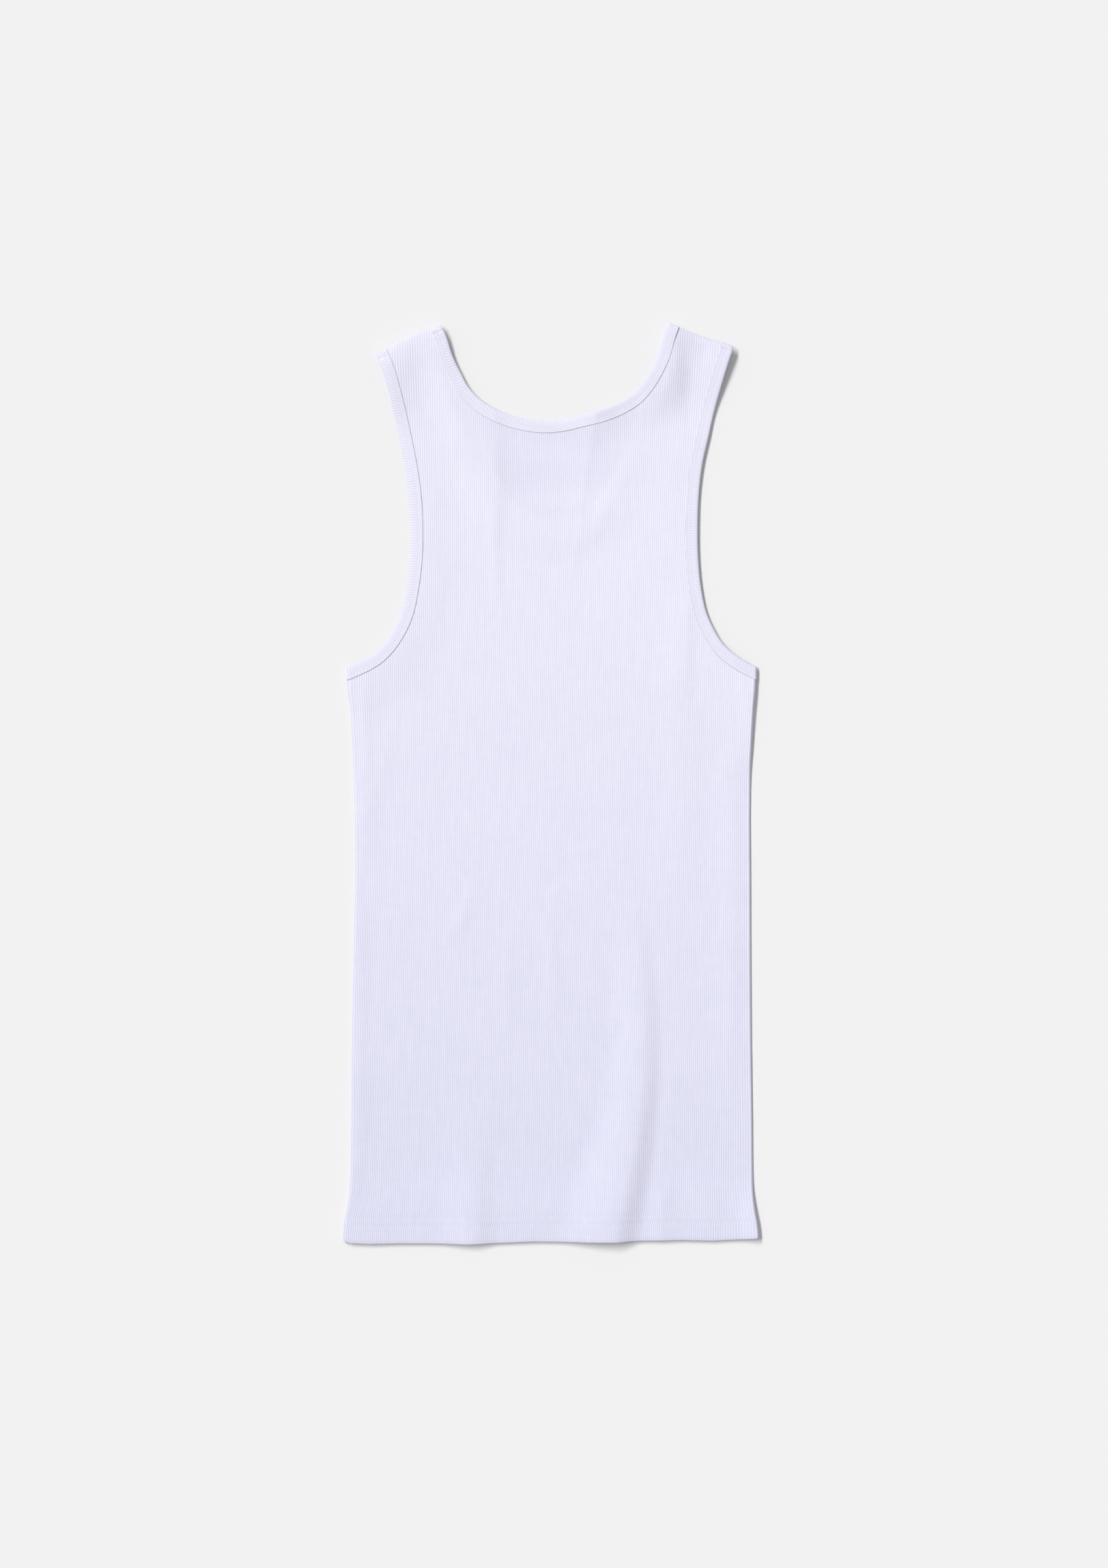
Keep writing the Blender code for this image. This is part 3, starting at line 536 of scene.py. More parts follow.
def shoulder_line(ribs):
    """Where each rib meets the middle of the shoulder's fold, and the fold's outward way."""
    y = np.full(ribs.shape, STRAP_TOP)
    x = rib_x(ribs, y)
    out = np.zeros((len(ribs), 2))
    for _ in range(STRAP_TRIES):
        for side, here in (("left", ribs < 0), ("right", ribs >= 0)):
            neck, arm = TURNS[side]
            slope = (neck.centre[1] - arm.centre[1]) / (neck.centre[0] - arm.centre[0])
            middle = (neck.centre + arm.centre) / 2
            half = abs(neck.centre[0] - arm.centre[0]) / 2
            across = np.clip((x - middle[0]) / (half - BAND_WIDTH), -1, 1)
            line = middle[1] + np.clip(x - middle[0], -half, half) * slope
            y = np.where(here, line + SHOULDER_BOW[side] * (1 - across**4) / neck.out[1], y)
            out[here] = neck.out
        x = rib_x(ribs, y)
    return x, y, out


def with_side_curls(side, point, normal, ribs):
    """The grid with columns added that roll round the side folds, to halfway between the panels."""
    angles = np.linspace(0, math.pi / 2, CURL_STEPS + 1)[1:]
    for name, sign in SIGN.items():
        last = point[:, 0 if sign < 0 else -1]
        y = last[:, 1]
        turn = ARMHOLES[name][1]
        top = turn.centre[1] - BAND_WIDTH
        near = 1 - ease(top - y, 0.0, SIDE_TOP)
        middle = BODY_MIDDLE + SIDE_HEAVE * crease_rise(side_x(name, y), y)
        middle += HEM_RISE / 2 * (1 - ease(y - HEM_LINE, HEM_DEPTH, HEM_DEPTH + HEM_FADE))
        middle += (turn.middle - middle) * near
        radius = np.maximum(side * (last[:, 2] - middle), SIDE_LEAST)
        held_x = turn.centre[0] + sign * (turn.radius + CLOTH / 2)
        edge = side_x(name, y) + (held_x - side_x(name, y)) * near
        flat = np.minimum(radius, SIDE_CURL)
        centre = edge - sign * flat
        curl_point = []
        curl_normal = []
        for angle in angles:
            round_x, round_z = sign * math.sin(angle), side * math.cos(angle)
            spot = np.column_stack((centre + flat * round_x, y, middle + radius * round_z))
            way = np.column_stack((round_x / flat, 0.0 * y, round_z / radius))
            way /= np.linalg.norm(way, axis=1)[:, None]
            curl_point.append(spot[:, None])
            curl_normal.append(way[:, None])
        added = sign * (RIB_SPAN + RIB_PITCH / CURL_STEPS * np.arange(1, CURL_STEPS + 1))
        order = int(sign)  # at the left, the new columns come first and the outermost leads
        point = np.concatenate([point, *curl_point][::order], axis=1)
        normal = np.concatenate([normal, *curl_normal][::order], axis=1)
        ribs = np.concatenate([ribs, *added[:, None]][::order])
    return point, normal, ribs


def with_shoulder_curl(side, point, normal, ribs, top_x, top_y, out):
    """The grid with rows added that roll over the shoulders' folds, to halfway down them."""
    pad = ((CURL_STEPS, CURL_STEPS),)
    top_x, top_y = (np.pad(line, pad, mode="edge") for line in (top_x, top_y))
    out = np.pad(out, (*pad, (0, 0)), mode="edge")
    radius = SHOULDER_RADIUS + CLOTH / 2
    _, middle = shoulder_height(top_x[None], top_y[None])
    for angle in np.linspace(0, math.pi / 2, CURL_STEPS + 1)[1:]:
        plan = np.column_stack((top_x, top_y)) + radius * math.sin(angle) * out
        spot = np.column_stack((plan, middle[0] + side * radius * math.cos(angle)))
        way = np.column_stack((math.sin(angle) * out, np.full(len(out), side * math.cos(angle))))
        point = np.concatenate((point, spot[None]))
        normal = np.concatenate((normal, way[None]))
    return point, normal, ribs


def kept_cells(point, edges):
    """Which cells of the grid, one rib wide, are cloth: those that all the edges leave inside."""
    corner = point[:, ::RIB_STEPS]
    inside = np.full(corner.shape[:2], True)
    for edge in edges:
        depth, _ = edge.nearest(corner[..., 0], corner[..., 1])
        inside &= depth > RAW_EDGE
    return inside[:-1, :-1] & inside[1:, :-1] & inside[:-1, 1:] & inside[1:, 1:]


def make_panel(name, side, face, edges, material):
    """One panel: a ribbed outer face, a plain inside, and the hem's fold that joins them."""
    point, normal, ribs = panel_grid(side, face)
    kept = kept_cells(point, edges)
    above = point[..., 1] - hem_height(point[..., 0])
    doubled = 1 - ease(above, HEM_DEPTH - HEM_STEP, HEM_DEPTH + HEM_STEP)
    wall = CLOTH + (HEM_WALL - CLOTH) * doubled
    inner = point - normal * wall[..., None]
    relief = RIB_RELIEF * rib_profile(ribs)[None] * np.ones(len(point))[:, None]
    for row in HEM_ROWS:
        relief = relief + HEM_PRESS * np.exp(-(((above - row) / PRESS_HALF) ** 2))
    outer = point - normal * relief[..., None]
    middle = (outer[0] + inner[0]) / 2
    wrap = []
    for angle in np.linspace(0, math.pi, CURL_STEPS + 1)[1:]:
        lean = normal[0] * math.cos(angle) + np.array((0.0, -1.0, 0.0)) * math.sin(angle)
        groove = relief[0] * (0.5 + 0.5 * math.cos(angle))
        wrap.append(middle + lean * (HEM_WALL / 2 - groove * 0.5)[:, None])
    outer = np.concatenate((np.array(wrap[::-1]), outer))
    kept = np.concatenate((np.repeat(kept[:1], CURL_STEPS, axis=0), kept))
    steps = np.diff(point[:, MEASURED_COLUMN, 1])
    courses = np.cumsum(np.concatenate((np.full(CURL_STEPS, HEM_CURL), [0.0], steps)))
    normal = np.concatenate((np.repeat(normal[:1], CURL_STEPS, axis=0), normal))
    # Painted shade: deeper in colour where the cloth turns sideways at its folds.
    painted_shade = FOLD_SHADE * np.hypot(normal[..., 0], normal[..., 1])
    if side > 0:
        neck, _ = NECK[2].nearest(outer[..., 0], outer[..., 1])
        # Painted shade for the dip where the back lies single, inside the front's neck.
        painted_shade += LONE_SHADE * ease(-neck, *LONE_EDGE)
    return shell(name, outer, inner, kept, ribs / RIB_PITCH, courses / COURSE, painted_shade, material)


def shell(name, outer, inner, kept, across, along, painted_shade, material):
    """A closed mesh of a fine outer face and an inner face one rib to a face."""
    rows, columns = outer.shape[:2]
    cells = kept.shape[1]
    offset = rows - len(inner)
    fine = np.arange(rows * columns).reshape(rows, columns)
    plain = np.arange((rows - offset) * (cells + 1)).reshape(rows - offset, cells + 1)
    plain += rows * columns
    plain = np.concatenate((np.repeat(fine[:1, ::RIB_STEPS], offset, axis=0), plain))
    plain[offset] = fine[0, ::RIB_STEPS]
    verts = np.concatenate((outer.reshape(-1, 3), inner[:, ::RIB_STEPS].reshape(-1, 3)))
    faces = []
    for r, c in np.argwhere(kept):
        first = c * RIB_STEPS
        for i in range(first, first + RIB_STEPS):
            faces.append((fine[r, i], fine[r, i + 1], fine[r + 1, i + 1], fine[r + 1, i]))
        chain = slice(first, first + RIB_STEPS + 1)
        if r >= offset:
            faces.append((plain[r, c], plain[r + 1, c], plain[r + 1, c + 1], plain[r, c + 1]))
        if r == offset:
            faces[-1] = (plain[r + 1, c], plain[r + 1, c + 1], *fine[0, chain][::-1])
        if r + 1 == len(kept) or not kept[r + 1, c]:
            faces.append((*fine[r + 1, chain], plain[r + 1, c + 1], plain[r + 1, c]))
        if r > 0 and not kept[r - 1, c]:
            faces.append((*fine[r, chain][::-1], plain[r, c], plain[r, c + 1]))
        for edge, beside in ((c, c - 1), (c + 1, c + 1)):
            if 0 <= beside < cells and kept[r, beside]:
                continue
            i = edge * RIB_STEPS
            rim = [fine[r, i], fine[r + 1, i], plain[r + 1, edge], plain[r, edge]]
            rim = list(dict.fromkeys(rim))
            if len(rim) > 2:
                faces.append(tuple(rim if edge == c + 1 else rim[::-1]))
    spread = np.dstack(np.broadcast_arrays(across, along[:, None], painted_shade))
    spread = np.concatenate((spread.reshape(-1, 3), spread[offset:, ::RIB_STEPS].reshape(-1, 3)))
    return make_mesh(name, verts, faces, spread, material)


SHARP = 80.0  # degrees: sharper edges aren't smoothed over
SAME_PLACE = 1e-6  # metres: points this close are one


def make_mesh(name, verts, faces, places, material):
    """A smooth object from points in millimetres. Its places are the knit's rib and row, as a UV
    map, and the painted shade that the cloth takes there."""
    used = np.unique(np.concatenate(faces))
    again = np.full(len(verts), -1)
    again[used] = np.arange(len(used))
    data = bpy.data.meshes.new(name)
    data.from_pydata(verts[used] * MM, [], [tuple(again[list(face)]) for face in faces])
    loops = np.empty(len(data.loops), int)
    data.loops.foreach_get("vertex_index", loops)
    layer = data.uv_layers.new(name="knit")
    layer.data.foreach_set("uv", places[used, :2][loops].astype(np.float32).ravel())
    painted_shade = data.attributes.new("painted_shade", "FLOAT", "POINT")
    painted_shade.data.foreach_set("value", places[used, 2].astype(np.float32))
    data.shade_smooth()
    data.set_sharp_from_angle(angle=math.radians(SHARP))
    data.materials.append(material)
    piece = bpy.data.objects.new(name, data)
    bpy.context.scene.collection.objects.link(piece)
    bpy.context.view_layer.objects.active = piece
    piece.select_set(True)
    bpy.ops.object.mode_set(mode="EDIT")
    bpy.ops.mesh.select_all(action="SELECT")
    bpy.ops.mesh.remove_doubles(threshold=SAME_PLACE)
    bpy.ops.mesh.normals_make_consistent(inside=False)
    bpy.ops.object.mode_set(mode="OBJECT")
    piece.select_set(False)
    return piece


class Shade:
    """A socket of a material, so that shader maths reads as plain arithmetic."""

    def __init__(self, tree, socket=None):
        self.tree = tree
        self.socket = socket

    def node(self, kind, settings=(), sockets=(), output=0):
        """The output of a new node, after its settings and the values or links of its sockets."""
        made = self.tree.nodes.new(kind)
        for name, value in dict(settings).items():
            setattr(made, name, value)
        self.fill(made, sockets)
        return Shade(self.tree, made.outputs[output])

    def fill(self, node, sockets):
        """Give a node's sockets their values or links."""
        for name, value in dict(sockets).items():
            if isinstance(value, Shade):
                self.tree.links.new(value.socket, node.inputs[name])
            else:
                node.inputs[name].default_value = value

    def noise(self, scale, detail):
        """A cloudy pattern over this place."""
        sockets = {"Vector": self, "Scale": scale, "Detail": detail}
        return self.node("ShaderNodeTexNoise", (), sockets)

    def math(self, operation, *values):
        return self.node("ShaderNodeMath", {"operation": operation}, enumerate(values))

    def __add__(self, other):
        return self.math("ADD", self, other)

    def __sub__(self, other):
        return self.math("SUBTRACT", self, other)

    def __mul__(self, other):
        return self.math("MULTIPLY", self, other)

    def __rsub__(self, other):
        return self.math("SUBTRACT", other, self)

    __radd__ = __add__
    __rmul__ = __mul__


def start_material(name):
    """A new material, its surface's node, and the start of its shader maths."""
    material = bpy.data.materials.new(name)
    material.use_nodes = True
    tree = material.node_tree
    return material, tree.nodes["Principled BSDF"], Shade(tree)


COURSE = 0.8  # height of one knitted row
LEG_SLANT = 0.55  # the stitches' legs slant by this much of a row
SPINE_POWER = 6.0  # how narrow the line down the middle of a rib is,
SPINE_SHARE = 0.7  # and how much it hides the legs
NAP_SHARE = 0.35  # of the relief that is loose fibres
BUMP_STRENGTH = 0.6
# Painted shade in the knit's colour: its grooves, the gaps between the stitches' legs, and towards
# the hem.
GROOVE_SHADE_POWER = 3.0
LEG_GAP_SHADE = 0.03  # painted shade between the stitches' legs, the cloth's own uneven tone in large patches, and painted shade towards the hem, where the light falls off, from one y to the other, in metres
PATCH_TINT = 0.2  # in large patches,
LOW_SHADE = 0.74  # and towards the hem,
LOW_SPAN = (0.17, -0.34)  # from one y to the other, in metres
RUN_RIBS = 0.45  # thick and thin places in the yarn: how fast they change from rib to rib,
RUN_ROWS = 0.03  # and along a rib
# The deep colour is mixed in for painted shade and for the yarn's own uneven tone.
CLOTH_LIGHT = (0.765, 0.765, 0.888, 1.0)
CLOTH_DEEP = (0.665, 0.662, 0.808, 1.0)


def knit_material(name, light, deep, groove_shade, bump_depth, uneven):
    """White cotton knit: columns of small V stitches along each rib, and painted shade in the
    grooves, between the legs, at folds and towards the hem. It follows the knit's own map: ribs
    across, knitted rows along."""
    material, surface, start = start_material(name)
    knit = start.node("ShaderNodeUVMap", {"uv_map": "knit"})
    across = start.node("ShaderNodeSeparateXYZ", (), {0: knit}, 0)
    along = start.node("ShaderNodeSeparateXYZ", (), {0: knit}, 1)
    off = start.math("ABSOLUTE", start.math("FRACT", across) - 0.5) * 2
    leg = start.math("COSINE", (along - off * LEG_SLANT) * math.tau) * 0.5 + 0.5
    spine = start.math("POWER", 1 - off, SPINE_POWER)
    place = start.node("ShaderNodeTexCoord", (), (), "Object")
    nap = place.noise(scale=2600.0, detail=3.0)
    patches = place.noise(scale=22.0, detail=4.0)
    mottle = place.noise(scale=150.0, detail=2.0)
    yarn = start.node("ShaderNodeCombineXYZ", (), {"X": across * RUN_RIBS, "Y": along * RUN_ROWS})
    runs = yarn.noise(scale=1.0, detail=1.0)
    relief = leg * (1 - spine * SPINE_SHARE) + nap * NAP_SHARE
    sockets = {"Strength": BUMP_STRENGTH, "Distance": bump_depth * MM, "Height": relief}
    bump = start.node("ShaderNodeBump", (), sockets)
    # Darker down the garment towards the hem: painted shade.
    lengthwise = start.node("ShaderNodeSeparateXYZ", (), {0: place}, 1)
    sockets = {"Value": lengthwise, "From Min": LOW_SPAN[0], "From Max": LOW_SPAN[1]}
    low = start.node("ShaderNodeMapRange", (), sockets)
    painted_shade = start.node("ShaderNodeAttribute", {"attribute_name": "painted_shade"}, (), "Fac")
    # The mix of painted shade (grooves, gaps between legs, towards the hem, folds from the mesh)
    # with the yarn's own uneven tone (patches, mottle, runs).
    shade_and_uneven_tone = (
        start.math("POWER", off, GROOVE_SHADE_POWER) * groove_shade
        + (1 - leg) * LEG_GAP_SHADE
        + (patches - 0.5) * PATCH_TINT
        + (mottle - 0.5) * uneven
        + (runs - 0.5) * uneven
        + low * LOW_SHADE
        + painted_shade
    )
    settings = {"data_type": "RGBA", "clamp_factor": False}
    colour = start.node("ShaderNodeMix", settings, {0: shade_and_uneven_tone, 6: light, 7: deep}, 2)
    start.fill(surface, {"Base Color": colour, "Normal": bump})
    start.fill(surface, {"Roughness": 0.92, "Specular IOR Level": 0.25})
    start.fill(surface, {"Sheen Weight": 0.12, "Sheen Roughness": 0.6})
    return material


panel_cloth = knit_material(
    "rib_knit", CLOTH_LIGHT, CLOTH_DEEP, groove_shade=0.55, bump_depth=0.03, uneven=0.4
)
back = make_panel("back_panel", +1, back_face, BACK_EDGES, panel_cloth)
front = make_panel("front_panel", -1, front_face, FRONT_EDGES, panel_cloth)
for panel, node in ((back, "back"), (front, "front")):
    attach(panel, "root")
    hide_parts(node)

# The bindings of the neck and the armholes: strips of the same rib cut across, so that the ribs
# run square to the edge, folded over it and held by two rows of stitches. Each is one closed
# loop, along the back, over the shoulder or the underarm, and home along the front.

BAND_RIB = 2.0  # from one of its ribs to the next
BAND_GROOVE_POWER = 3  # over 1, the grooves are narrower than the ribs
BAND_JOG = 0.3  # how far the ribs are pulled aside between the stitch rows, as a share of one
JOG_FROM = (5.3, 5.6)
JOG_TO = (8.0, 8.3)
BAND_WALL = 0.46  # thickness of the strip
SLOT_END = 1.3  # the slot for the panel's raw edge ends this far in from the binding's edge
STITCH_ROWS = (5.45, 8.15)  # in from the edge
TURN_STEPS = 10
CORNER = 3.5  # the rounding of its corners on the shoulders
JOIN_HALF = 0.55  # the dent where its ends are joined,
JOIN_DEPTH = 0.34
RELIEF_SPAN = (-90.0, 90.0)  # x between which its grooves' depth at the left turns to the right's
EDGE_SHADE = 2.2  # painted shade at its folded edge, down to this far in, and at its inner rim
RIM_SHADE = (8.9, 9.4)  # and so is its inner rim
# The deep colour is mixed in for painted shade and for the yarn's own uneven tone.
BAND_LIGHT = (0.765, 0.763, 0.885, 1.0)
BAND_DEEP = (0.66, 0.655, 0.80, 1.0)
EDGE_SHARE = 0.7  # share of the ribs that shows right at the edge
BAND_TOP = (  # in from the edge, drop from the top, and the share of the ribs that shows
    (9.5, 0.52, 0), (9.46, 0.24, 0), (9.3, 0.08, 0), (8.9, 0, 0.1), (8.5, 0.05, 0.3),
    (8.15, 0.12, 0.5), (7.8, 0.08, 0.8), (7.3, 0.02, 0.9), (6.6, 0, 0.9), (6, 0.03, 0.9),
    (5.7, 0.08, 0.8), (5.45, 0.13, 0.7), (5.2, 0.08, 0.8), (4.7, 0.02, 1), (3.8, 0, 1), (2.6, 0, 1),
    (1.6, 0.03, 1), (0.9, 0.14, 1), (0.38, 0.36, 0.9), (0.1, 0.66, 0.8),
)
SLOT = ((BAND_WIDTH, -1), (SLOT_END, -1), (SLOT_END, 1), (BAND_WIDTH, 1))  # in from the edge, side


def band_section():
    """Points round the binding: across, out as a share of the half height, and rib share."""
    top = [(across, 1 - drop / BAND_HALF, share) for across, drop, share in BAND_TOP]
    under = [(across, -out, share) for across, out, share in top[::-1]]
    slot = 1 - BAND_WALL / BAND_HALF
    inside = [(across, side * slot, 0) for across, side in SLOT]
    return [*top, (0.0, 0.0, EDGE_SHARE), *under, *inside]


def turn_frames(turn, degrees):
    """Middles, across ways and outward ways round a turn."""
    angle = np.radians(degrees)[:, None]
    outward = np.hstack((np.sin(angle) * turn.out, np.cos(angle)))
    middle = np.array((*turn.centre, turn.middle)) + turn.radius * outward
    return middle, np.tile((*turn.along, 0.0), (len(degrees), 1)), outward


def edge_frames(edge):
    """The same along an edge."""
    middle = np.column_stack((edge.xy, edge.z))
    across = np.column_stack((edge.across, np.zeros(len(edge.xy))))
    return middle, across, np.tile((0.0, 0.0, edge.side), (len(edge.xy), 1))


def band_frames(back, far_turn, front, near_turn):
    """The same all the way round a loop of two edges and two turns."""
    degrees = np.linspace(0, 180, TURN_STEPS + 1)[1:-1]
    parts = [
        edge_frames(back),
        turn_frames(far_turn, degrees),
        edge_frames(front),
        turn_frames(near_turn, degrees[::-1]),
    ]
    return [np.concatenate(each) for each in zip(*parts)]


def rounded(verts, turn):
    """The points with the strip's outer corner at a turn rounded off, as seen from above."""
    reach = (verts[..., :2] - turn.centre) @ turn.out - (turn.radius + BAND_HALF - CORNER)
    inward = (verts[..., :2] - turn.centre) @ turn.along
    over = np.clip(reach / CORNER, 0, 1)
    aside = np.clip(1 - inward / CORNER, 0, 1)
    outwards = over * (np.sqrt(1 - aside**2 / 2) - 1)
    along = aside * (1 - np.sqrt(1 - over**2 / 2))
    shift = outwards[..., None] * turn.out + along[..., None] * turn.along
    return np.concatenate((verts[..., :2] + CORNER * shift, verts[..., 2:]), axis=-1)


def creased(points, middle, outward):
    """The points, raised where the creases of the back cross the binding."""
    lift = np.maximum(crease_rise(points[..., 0], points[..., 1]), BAND_HALF - middle[:, None, 2])
    lift = np.where(outward[:, None, 2] > 0.5, lift, 0.0)  # on its upper side alone
    return np.concatenate((points[..., :2], (points[..., 2] + lift)[..., None]), axis=-1)


def make_binding(name, loop, join, relief, rim, painted_shade_all_over):
    """A folded strip swept along its loop, with its crosswise ribs and its join."""
    middle, across, outward = (np.vstack((each, each[:1])) for each in band_frames(*loop))
    section = np.array(band_section())
    count = len(middle)
    at = lengths_along(middle)
    phase = at / at[-1] * round(at[-1] / BAND_RIB)
    jog = BAND_JOG * (ease(section[:, 0], *JOG_FROM) - ease(section[:, 0], *JOG_TO))
    groove = (np.abs((phase[:, None] + jog) % 1.0 - 0.5) * 2) ** BAND_GROOVE_POWER
    seam = np.exp(-(((at - join) / JOIN_HALF) ** 2))
    deep = np.interp(middle[:, 0], RELIEF_SPAN, relief)[:, None]
    depth = deep * groove * section[:, 2] + JOIN_DEPTH * seam[:, None] * np.sign(section[:, 2])
    inward = section[:, 0][None] * np.ones((count, 1))
    rise = section[:, 1] * BAND_HALF
    outer = section[:, 2] > 0
    rise = rise[None] - np.where(outer, np.sign(rise) * depth * np.abs(section[:, 1]), 0.0)
    inward = inward + np.where(outer, depth * (1 - np.abs(section[:, 1])), 0.0)
    verts = (
        middle[:, None]
        + inward[..., None] * across[:, None]
        + rise[..., None] * outward[:, None]
    )
    for turn in (loop[1], loop[3]):
        if turn.radius == SHOULDER_RADIUS:
            verts = rounded(verts, turn)
    verts = creased(verts, middle, outward)
    ring = len(section)
    index = np.arange(count * ring).reshape(count, ring)
    faces = []
    for i in range(count - 1):
        for j in range(ring):
            k = (j + 1) % ring
            faces.append((index[i, j], index[i, k], index[i + 1, k], index[i + 1, j]))
    around = lengths_along(section[:, :2] * (1, BAND_HALF))
    # Painted shade: at the folded outer edge, at the inner rim, where the strip turns sideways, and
    # all over on the right armhole's binding.
    painted_shade = np.maximum(0.0, 1 - section[:, 0] / EDGE_SHADE) ** 2
    painted_shade = painted_shade + rim * ease(section[:, 0], *RIM_SHADE)
    painted_shade = FOLD_SHADE * np.maximum(painted_shade, np.hypot(outward[:, 0], outward[:, 1])[:, None]) + painted_shade_all_over
    places = np.dstack(np.broadcast_arrays(phase[:, None], around / COURSE, painted_shade))
    return make_mesh(name, verts.reshape(-1, 3), faces, places.reshape(-1, 3), band_cloth), at[-1]


band_cloth = knit_material(
    "binding_knit", BAND_LIGHT, BAND_DEEP, groove_shade=0.5, bump_depth=0.03, uneven=0.15
)
BINDINGS = {  # loop, its join's place along it, the depth of its grooves at the left and the right, and the painted shade it takes at the inner rim, and all over
    # and how much deeper in colour it is at the rim, and all over
    "neck_binding": (NECK, 3.0, (0.4, 0.24), 0.3, 0.0),
    "armhole_binding_left": (ARMHOLES["left"], 3.4, (0.36, 0.36), 1.3, 0.0),
    "armhole_binding_right": (ARMHOLES["right"], 2.5, (0.24, 0.24), 1.3, 0.15),
}
for node, (loop, *cloth) in BINDINGS.items():
    binding, length = make_binding(node.replace("binding", "band"), loop, *cloth)
    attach(binding, "root")
    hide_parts(node)

# The stitches: white cotton thread, two rows on each binding and two above the bottom edge of
# each panel. Every stitch is a short loop of thread that dips into the cloth at both ends.

THREAD = 0.25  # the thread's radius,
HEM_THREAD = 0.2  # and the hem's finer one
STITCH = 2.0  # from one stitch to the next
STITCH_SHARE = 0.94  # of that shows as thread
STITCH_SIDES = 5
STITCH_RINGS = (-1.0, -0.8, -0.3, 0.3, 0.8, 1.0)
STITCH_DIP = 0.16  # how far its ends dip into the cloth,
STITCH_TAPER = 0.45  # and how much thinner they are
BAND_SINK = 0.22  # how deep the rows lie in the binding,
HEM_SINK = 0.75  # and in the panels, as a share of the ribs' relief
HEM_END_Y = -350.0  # the hem's rows reach as far as the body does at this y,
HEM_END = 2.4  # less this much at each side
HEM_POINTS = 640


def add_stitches(verts, faces, path, outward, thick):
    """Thread loops along a path of points, each lying flat to its outward way."""
    length = lengths_along(path)
    count = int(length[-1] / STITCH)
    for i in range(count):
        ends = np.array((i + 0.5 - STITCH_SHARE / 2, i + 0.5, i + 0.5 + STITCH_SHARE / 2)) * STITCH
        start, middle, end = (
            np.array([np.interp(at, length, path[:, axis]) for axis in range(3)]) for at in ends
        )
        up = np.array([np.interp(ends[1], length, outward[:, axis]) for axis in range(3)])
        up /= np.linalg.norm(up)
        half = (end - start) / 2
        across = np.cross(half / np.linalg.norm(half), up)
        base = len(verts)
        for share in STITCH_RINGS:
            centre = middle + half * share - up * (STITCH_DIP * share**4)
            size = thick * (1 - STITCH_TAPER * share**4)
            for j in range(STITCH_SIDES):
                angle = math.tau * j / STITCH_SIDES
                verts.append(centre + size * (math.cos(angle) * across + math.sin(angle) * up))
        for r in range(len(STITCH_RINGS) - 1):
            for j in range(STITCH_SIDES):
                k = (j + 1) % STITCH_SIDES
                ring = base + r * STITCH_SIDES
                after = ring + STITCH_SIDES
                faces.append((ring + j, ring + k, after + k, after + j))
        last = base + (len(STITCH_RINGS) - 1) * STITCH_SIDES
        faces.append(tuple(range(base, base + STITCH_SIDES))[::-1])
        faces.append(tuple(range(last, last + STITCH_SIDES)))


def make_stitches(name, rows, thick, thread):
    """One piece of all the stitches of some rows."""
    verts = []
    faces = []
    for path, outward in rows:
        add_stitches(verts, faces, path, outward, thick)
    verts = np.array(verts)
    stitches = make_mesh(name, verts, faces, np.zeros((len(verts), 3)), thread)
    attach(stitches, "root")


def thread_material(name, light, deep):
    """Matt cotton thread, with a fine twist."""
    material, surface, start = start_material(name)
    place = start.node("ShaderNodeTexCoord", (), (), "Object")
    twist = place.noise(scale=1500.0, detail=2.0)
    sockets = {0: twist, 6: light, 7: deep}
    colour = start.node("ShaderNodeMix", {"data_type": "RGBA"}, sockets, 2)
    start.fill(surface, {"Base Color": colour, "Roughness": 0.75})
    return material


thread = thread_material("thread", light=(0.79, 0.79, 0.90, 1.0), deep=(0.72, 0.72, 0.84, 1.0))
# The hem's thread is deeper in colour: painted shade, like the cloth's towards the hem.
shaded_hem_thread = thread_material(
    "shaded_hem_thread", light=(0.73, 0.73, 0.85, 1.0), deep=(0.66, 0.66, 0.79, 1.0)
)


def binding_rows(loop):
    """Both stitch rows of a binding, on its outer side, all the way round."""
    middle, across, outward = band_frames(*loop)
    paths = [middle + row * across + (BAND_HALF - BAND_SINK) * outward for row in STITCH_ROWS]
    return [(creased(path[:, None], middle, outward)[:, 0], outward) for path in paths]


def hem_rows(side, face):
    """Both stitch rows of a hem, from side to side."""
    left, right = (side_x(name, HEM_END_Y) - SIGN[name] * HEM_END for name in SIGN)
    x = np.linspace(left, right, HEM_POINTS)
    rows = []
    for above in HEM_ROWS:
        y = hem_height(x) + above
        z = face(x[None], y[None])[0] - side * (RIB_RELIEF * HEM_SINK + HEM_PRESS)
        rows.append((np.column_stack((x, y, z)), np.tile((0.0, 0.0, side), (len(x), 1))))
    return rows


make_stitches("neck_stitches", binding_rows(NECK), THREAD, thread)
make_stitches("armhole_stitches_left", binding_rows(ARMHOLES["left"]), THREAD, thread)
make_stitches("armhole_stitches_right", binding_rows(ARMHOLES["right"]), THREAD, thread)
hem_paths = hem_rows(+1, back_face) + hem_rows(-1, front_face)
make_stitches("hem_stitches", hem_paths, HEM_THREAD, shaded_hem_thread)

# The floor: a plain pale matt sheet just under the garment, wide enough to fill the view from
# above.

FLOOR_HALF = 6000.0
FLOOR_BELOW = 0.2
FLOOR_TONE = (0.8, 0.8, 0.8, 1.0)

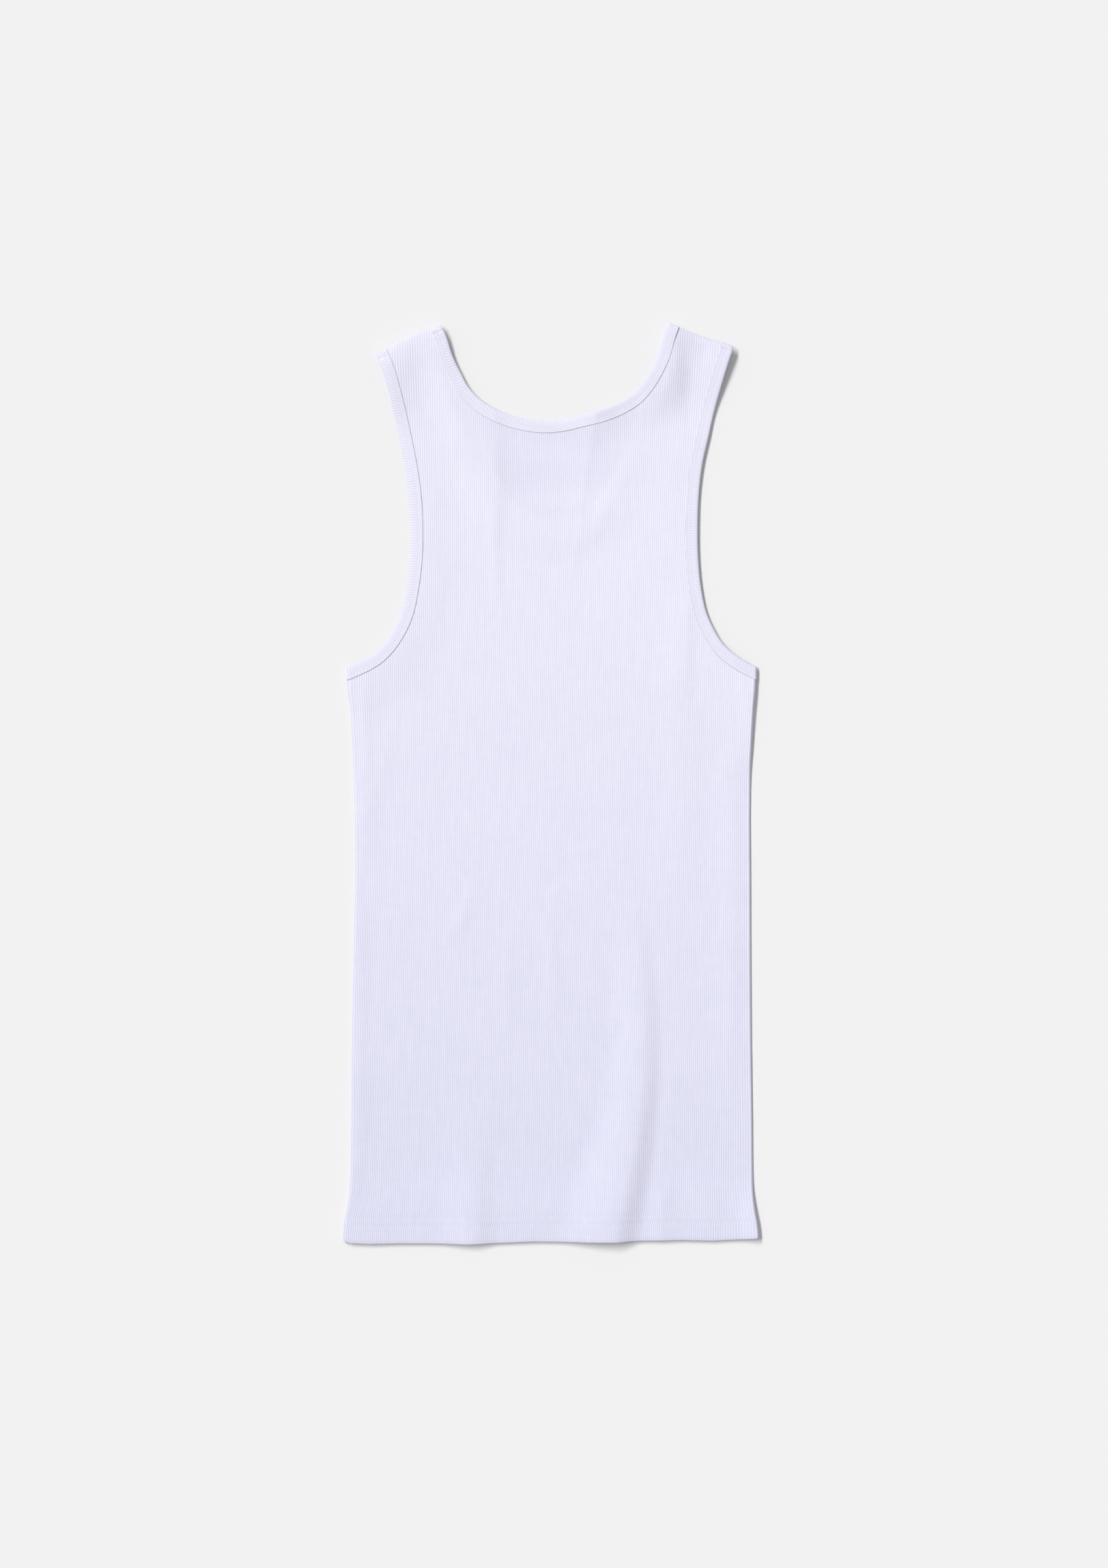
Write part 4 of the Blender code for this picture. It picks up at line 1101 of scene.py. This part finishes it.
bpy.ops.mesh.primitive_plane_add(size=2 * FLOOR_HALF * MM, location=(0, 0, -FLOOR_BELOW * MM))
floor = bpy.context.object
floor.name = "floor"
bpy.ops.object.transform_apply(location=True)
floor_paint, surface, start = start_material("floor")
start.fill(surface, {"Base Color": FLOOR_TONE, "Roughness": 0.9, "Specular IOR Level": 0.0})
floor.data.materials.append(floor_paint)

# The light: a long soft box high at the upper left, made of five lamps in a row, and an even
# pale room.

KEY_ACROSS = -0.64  # towards the lamps, for each step up
KEY_ALONG = (0.15, 0.37, 0.6, 0.83, 1.05)  # and towards the neck, lamp by lamp
KEY_STRENGTH = 0.583
KEY_SPREAD = math.radians(11.0)
ROOM_TONE = (1.0, 1.0, 1.0, 1.0)
ROOM_STRENGTH = 0.42

for along in KEY_ALONG:
    towards = Vector((KEY_ACROSS, along, 1.0))
    bpy.ops.object.light_add(type="SUN", rotation=towards.to_track_quat("Z", "Y").to_euler())
    lamp = bpy.context.object.data
    lamp.energy = KEY_STRENGTH
    lamp.angle = KEY_SPREAD
room = bpy.data.worlds.new("room")
bpy.context.scene.world = room
room.use_nodes = True
room_light = room.node_tree.nodes["Background"]
Shade(room.node_tree).fill(room_light, {"Color": ROOM_TONE, "Strength": ROOM_STRENGTH})
bpy.context.scene.view_settings.view_transform = "Standard"

# The camera: straight above and far off, with a long lens, so that the garment shows hardly any
# perspective. Its origin comes to the middle pixel.

IMAGE = (1623, 2296)
MM_PER_PIXEL = 0.535
MIDDLE_PIXEL = (807.0, 1148.5)  # the garment's origin in the frame
CAMERA_HEIGHT = 3000.0
SENSOR = 36.0
SEES_TO = 50.0  # metres

view = bpy.data.cameras.new("camera")
view.sensor_fit = "VERTICAL"
view.sensor_height = SENSOR
view.lens = SENSOR * CAMERA_HEIGHT / (IMAGE[1] * MM_PER_PIXEL)
view.clip_end = SEES_TO
camera = bpy.data.objects.new("camera", view)
camera.location = (
    (IMAGE[0] / 2 - MIDDLE_PIXEL[0]) * MM_PER_PIXEL * MM,
    (MIDDLE_PIXEL[1] - IMAGE[1] / 2) * MM_PER_PIXEL * MM,
    CAMERA_HEIGHT * MM,
)
bpy.context.scene.collection.objects.link(camera)
bpy.context.scene.camera = camera
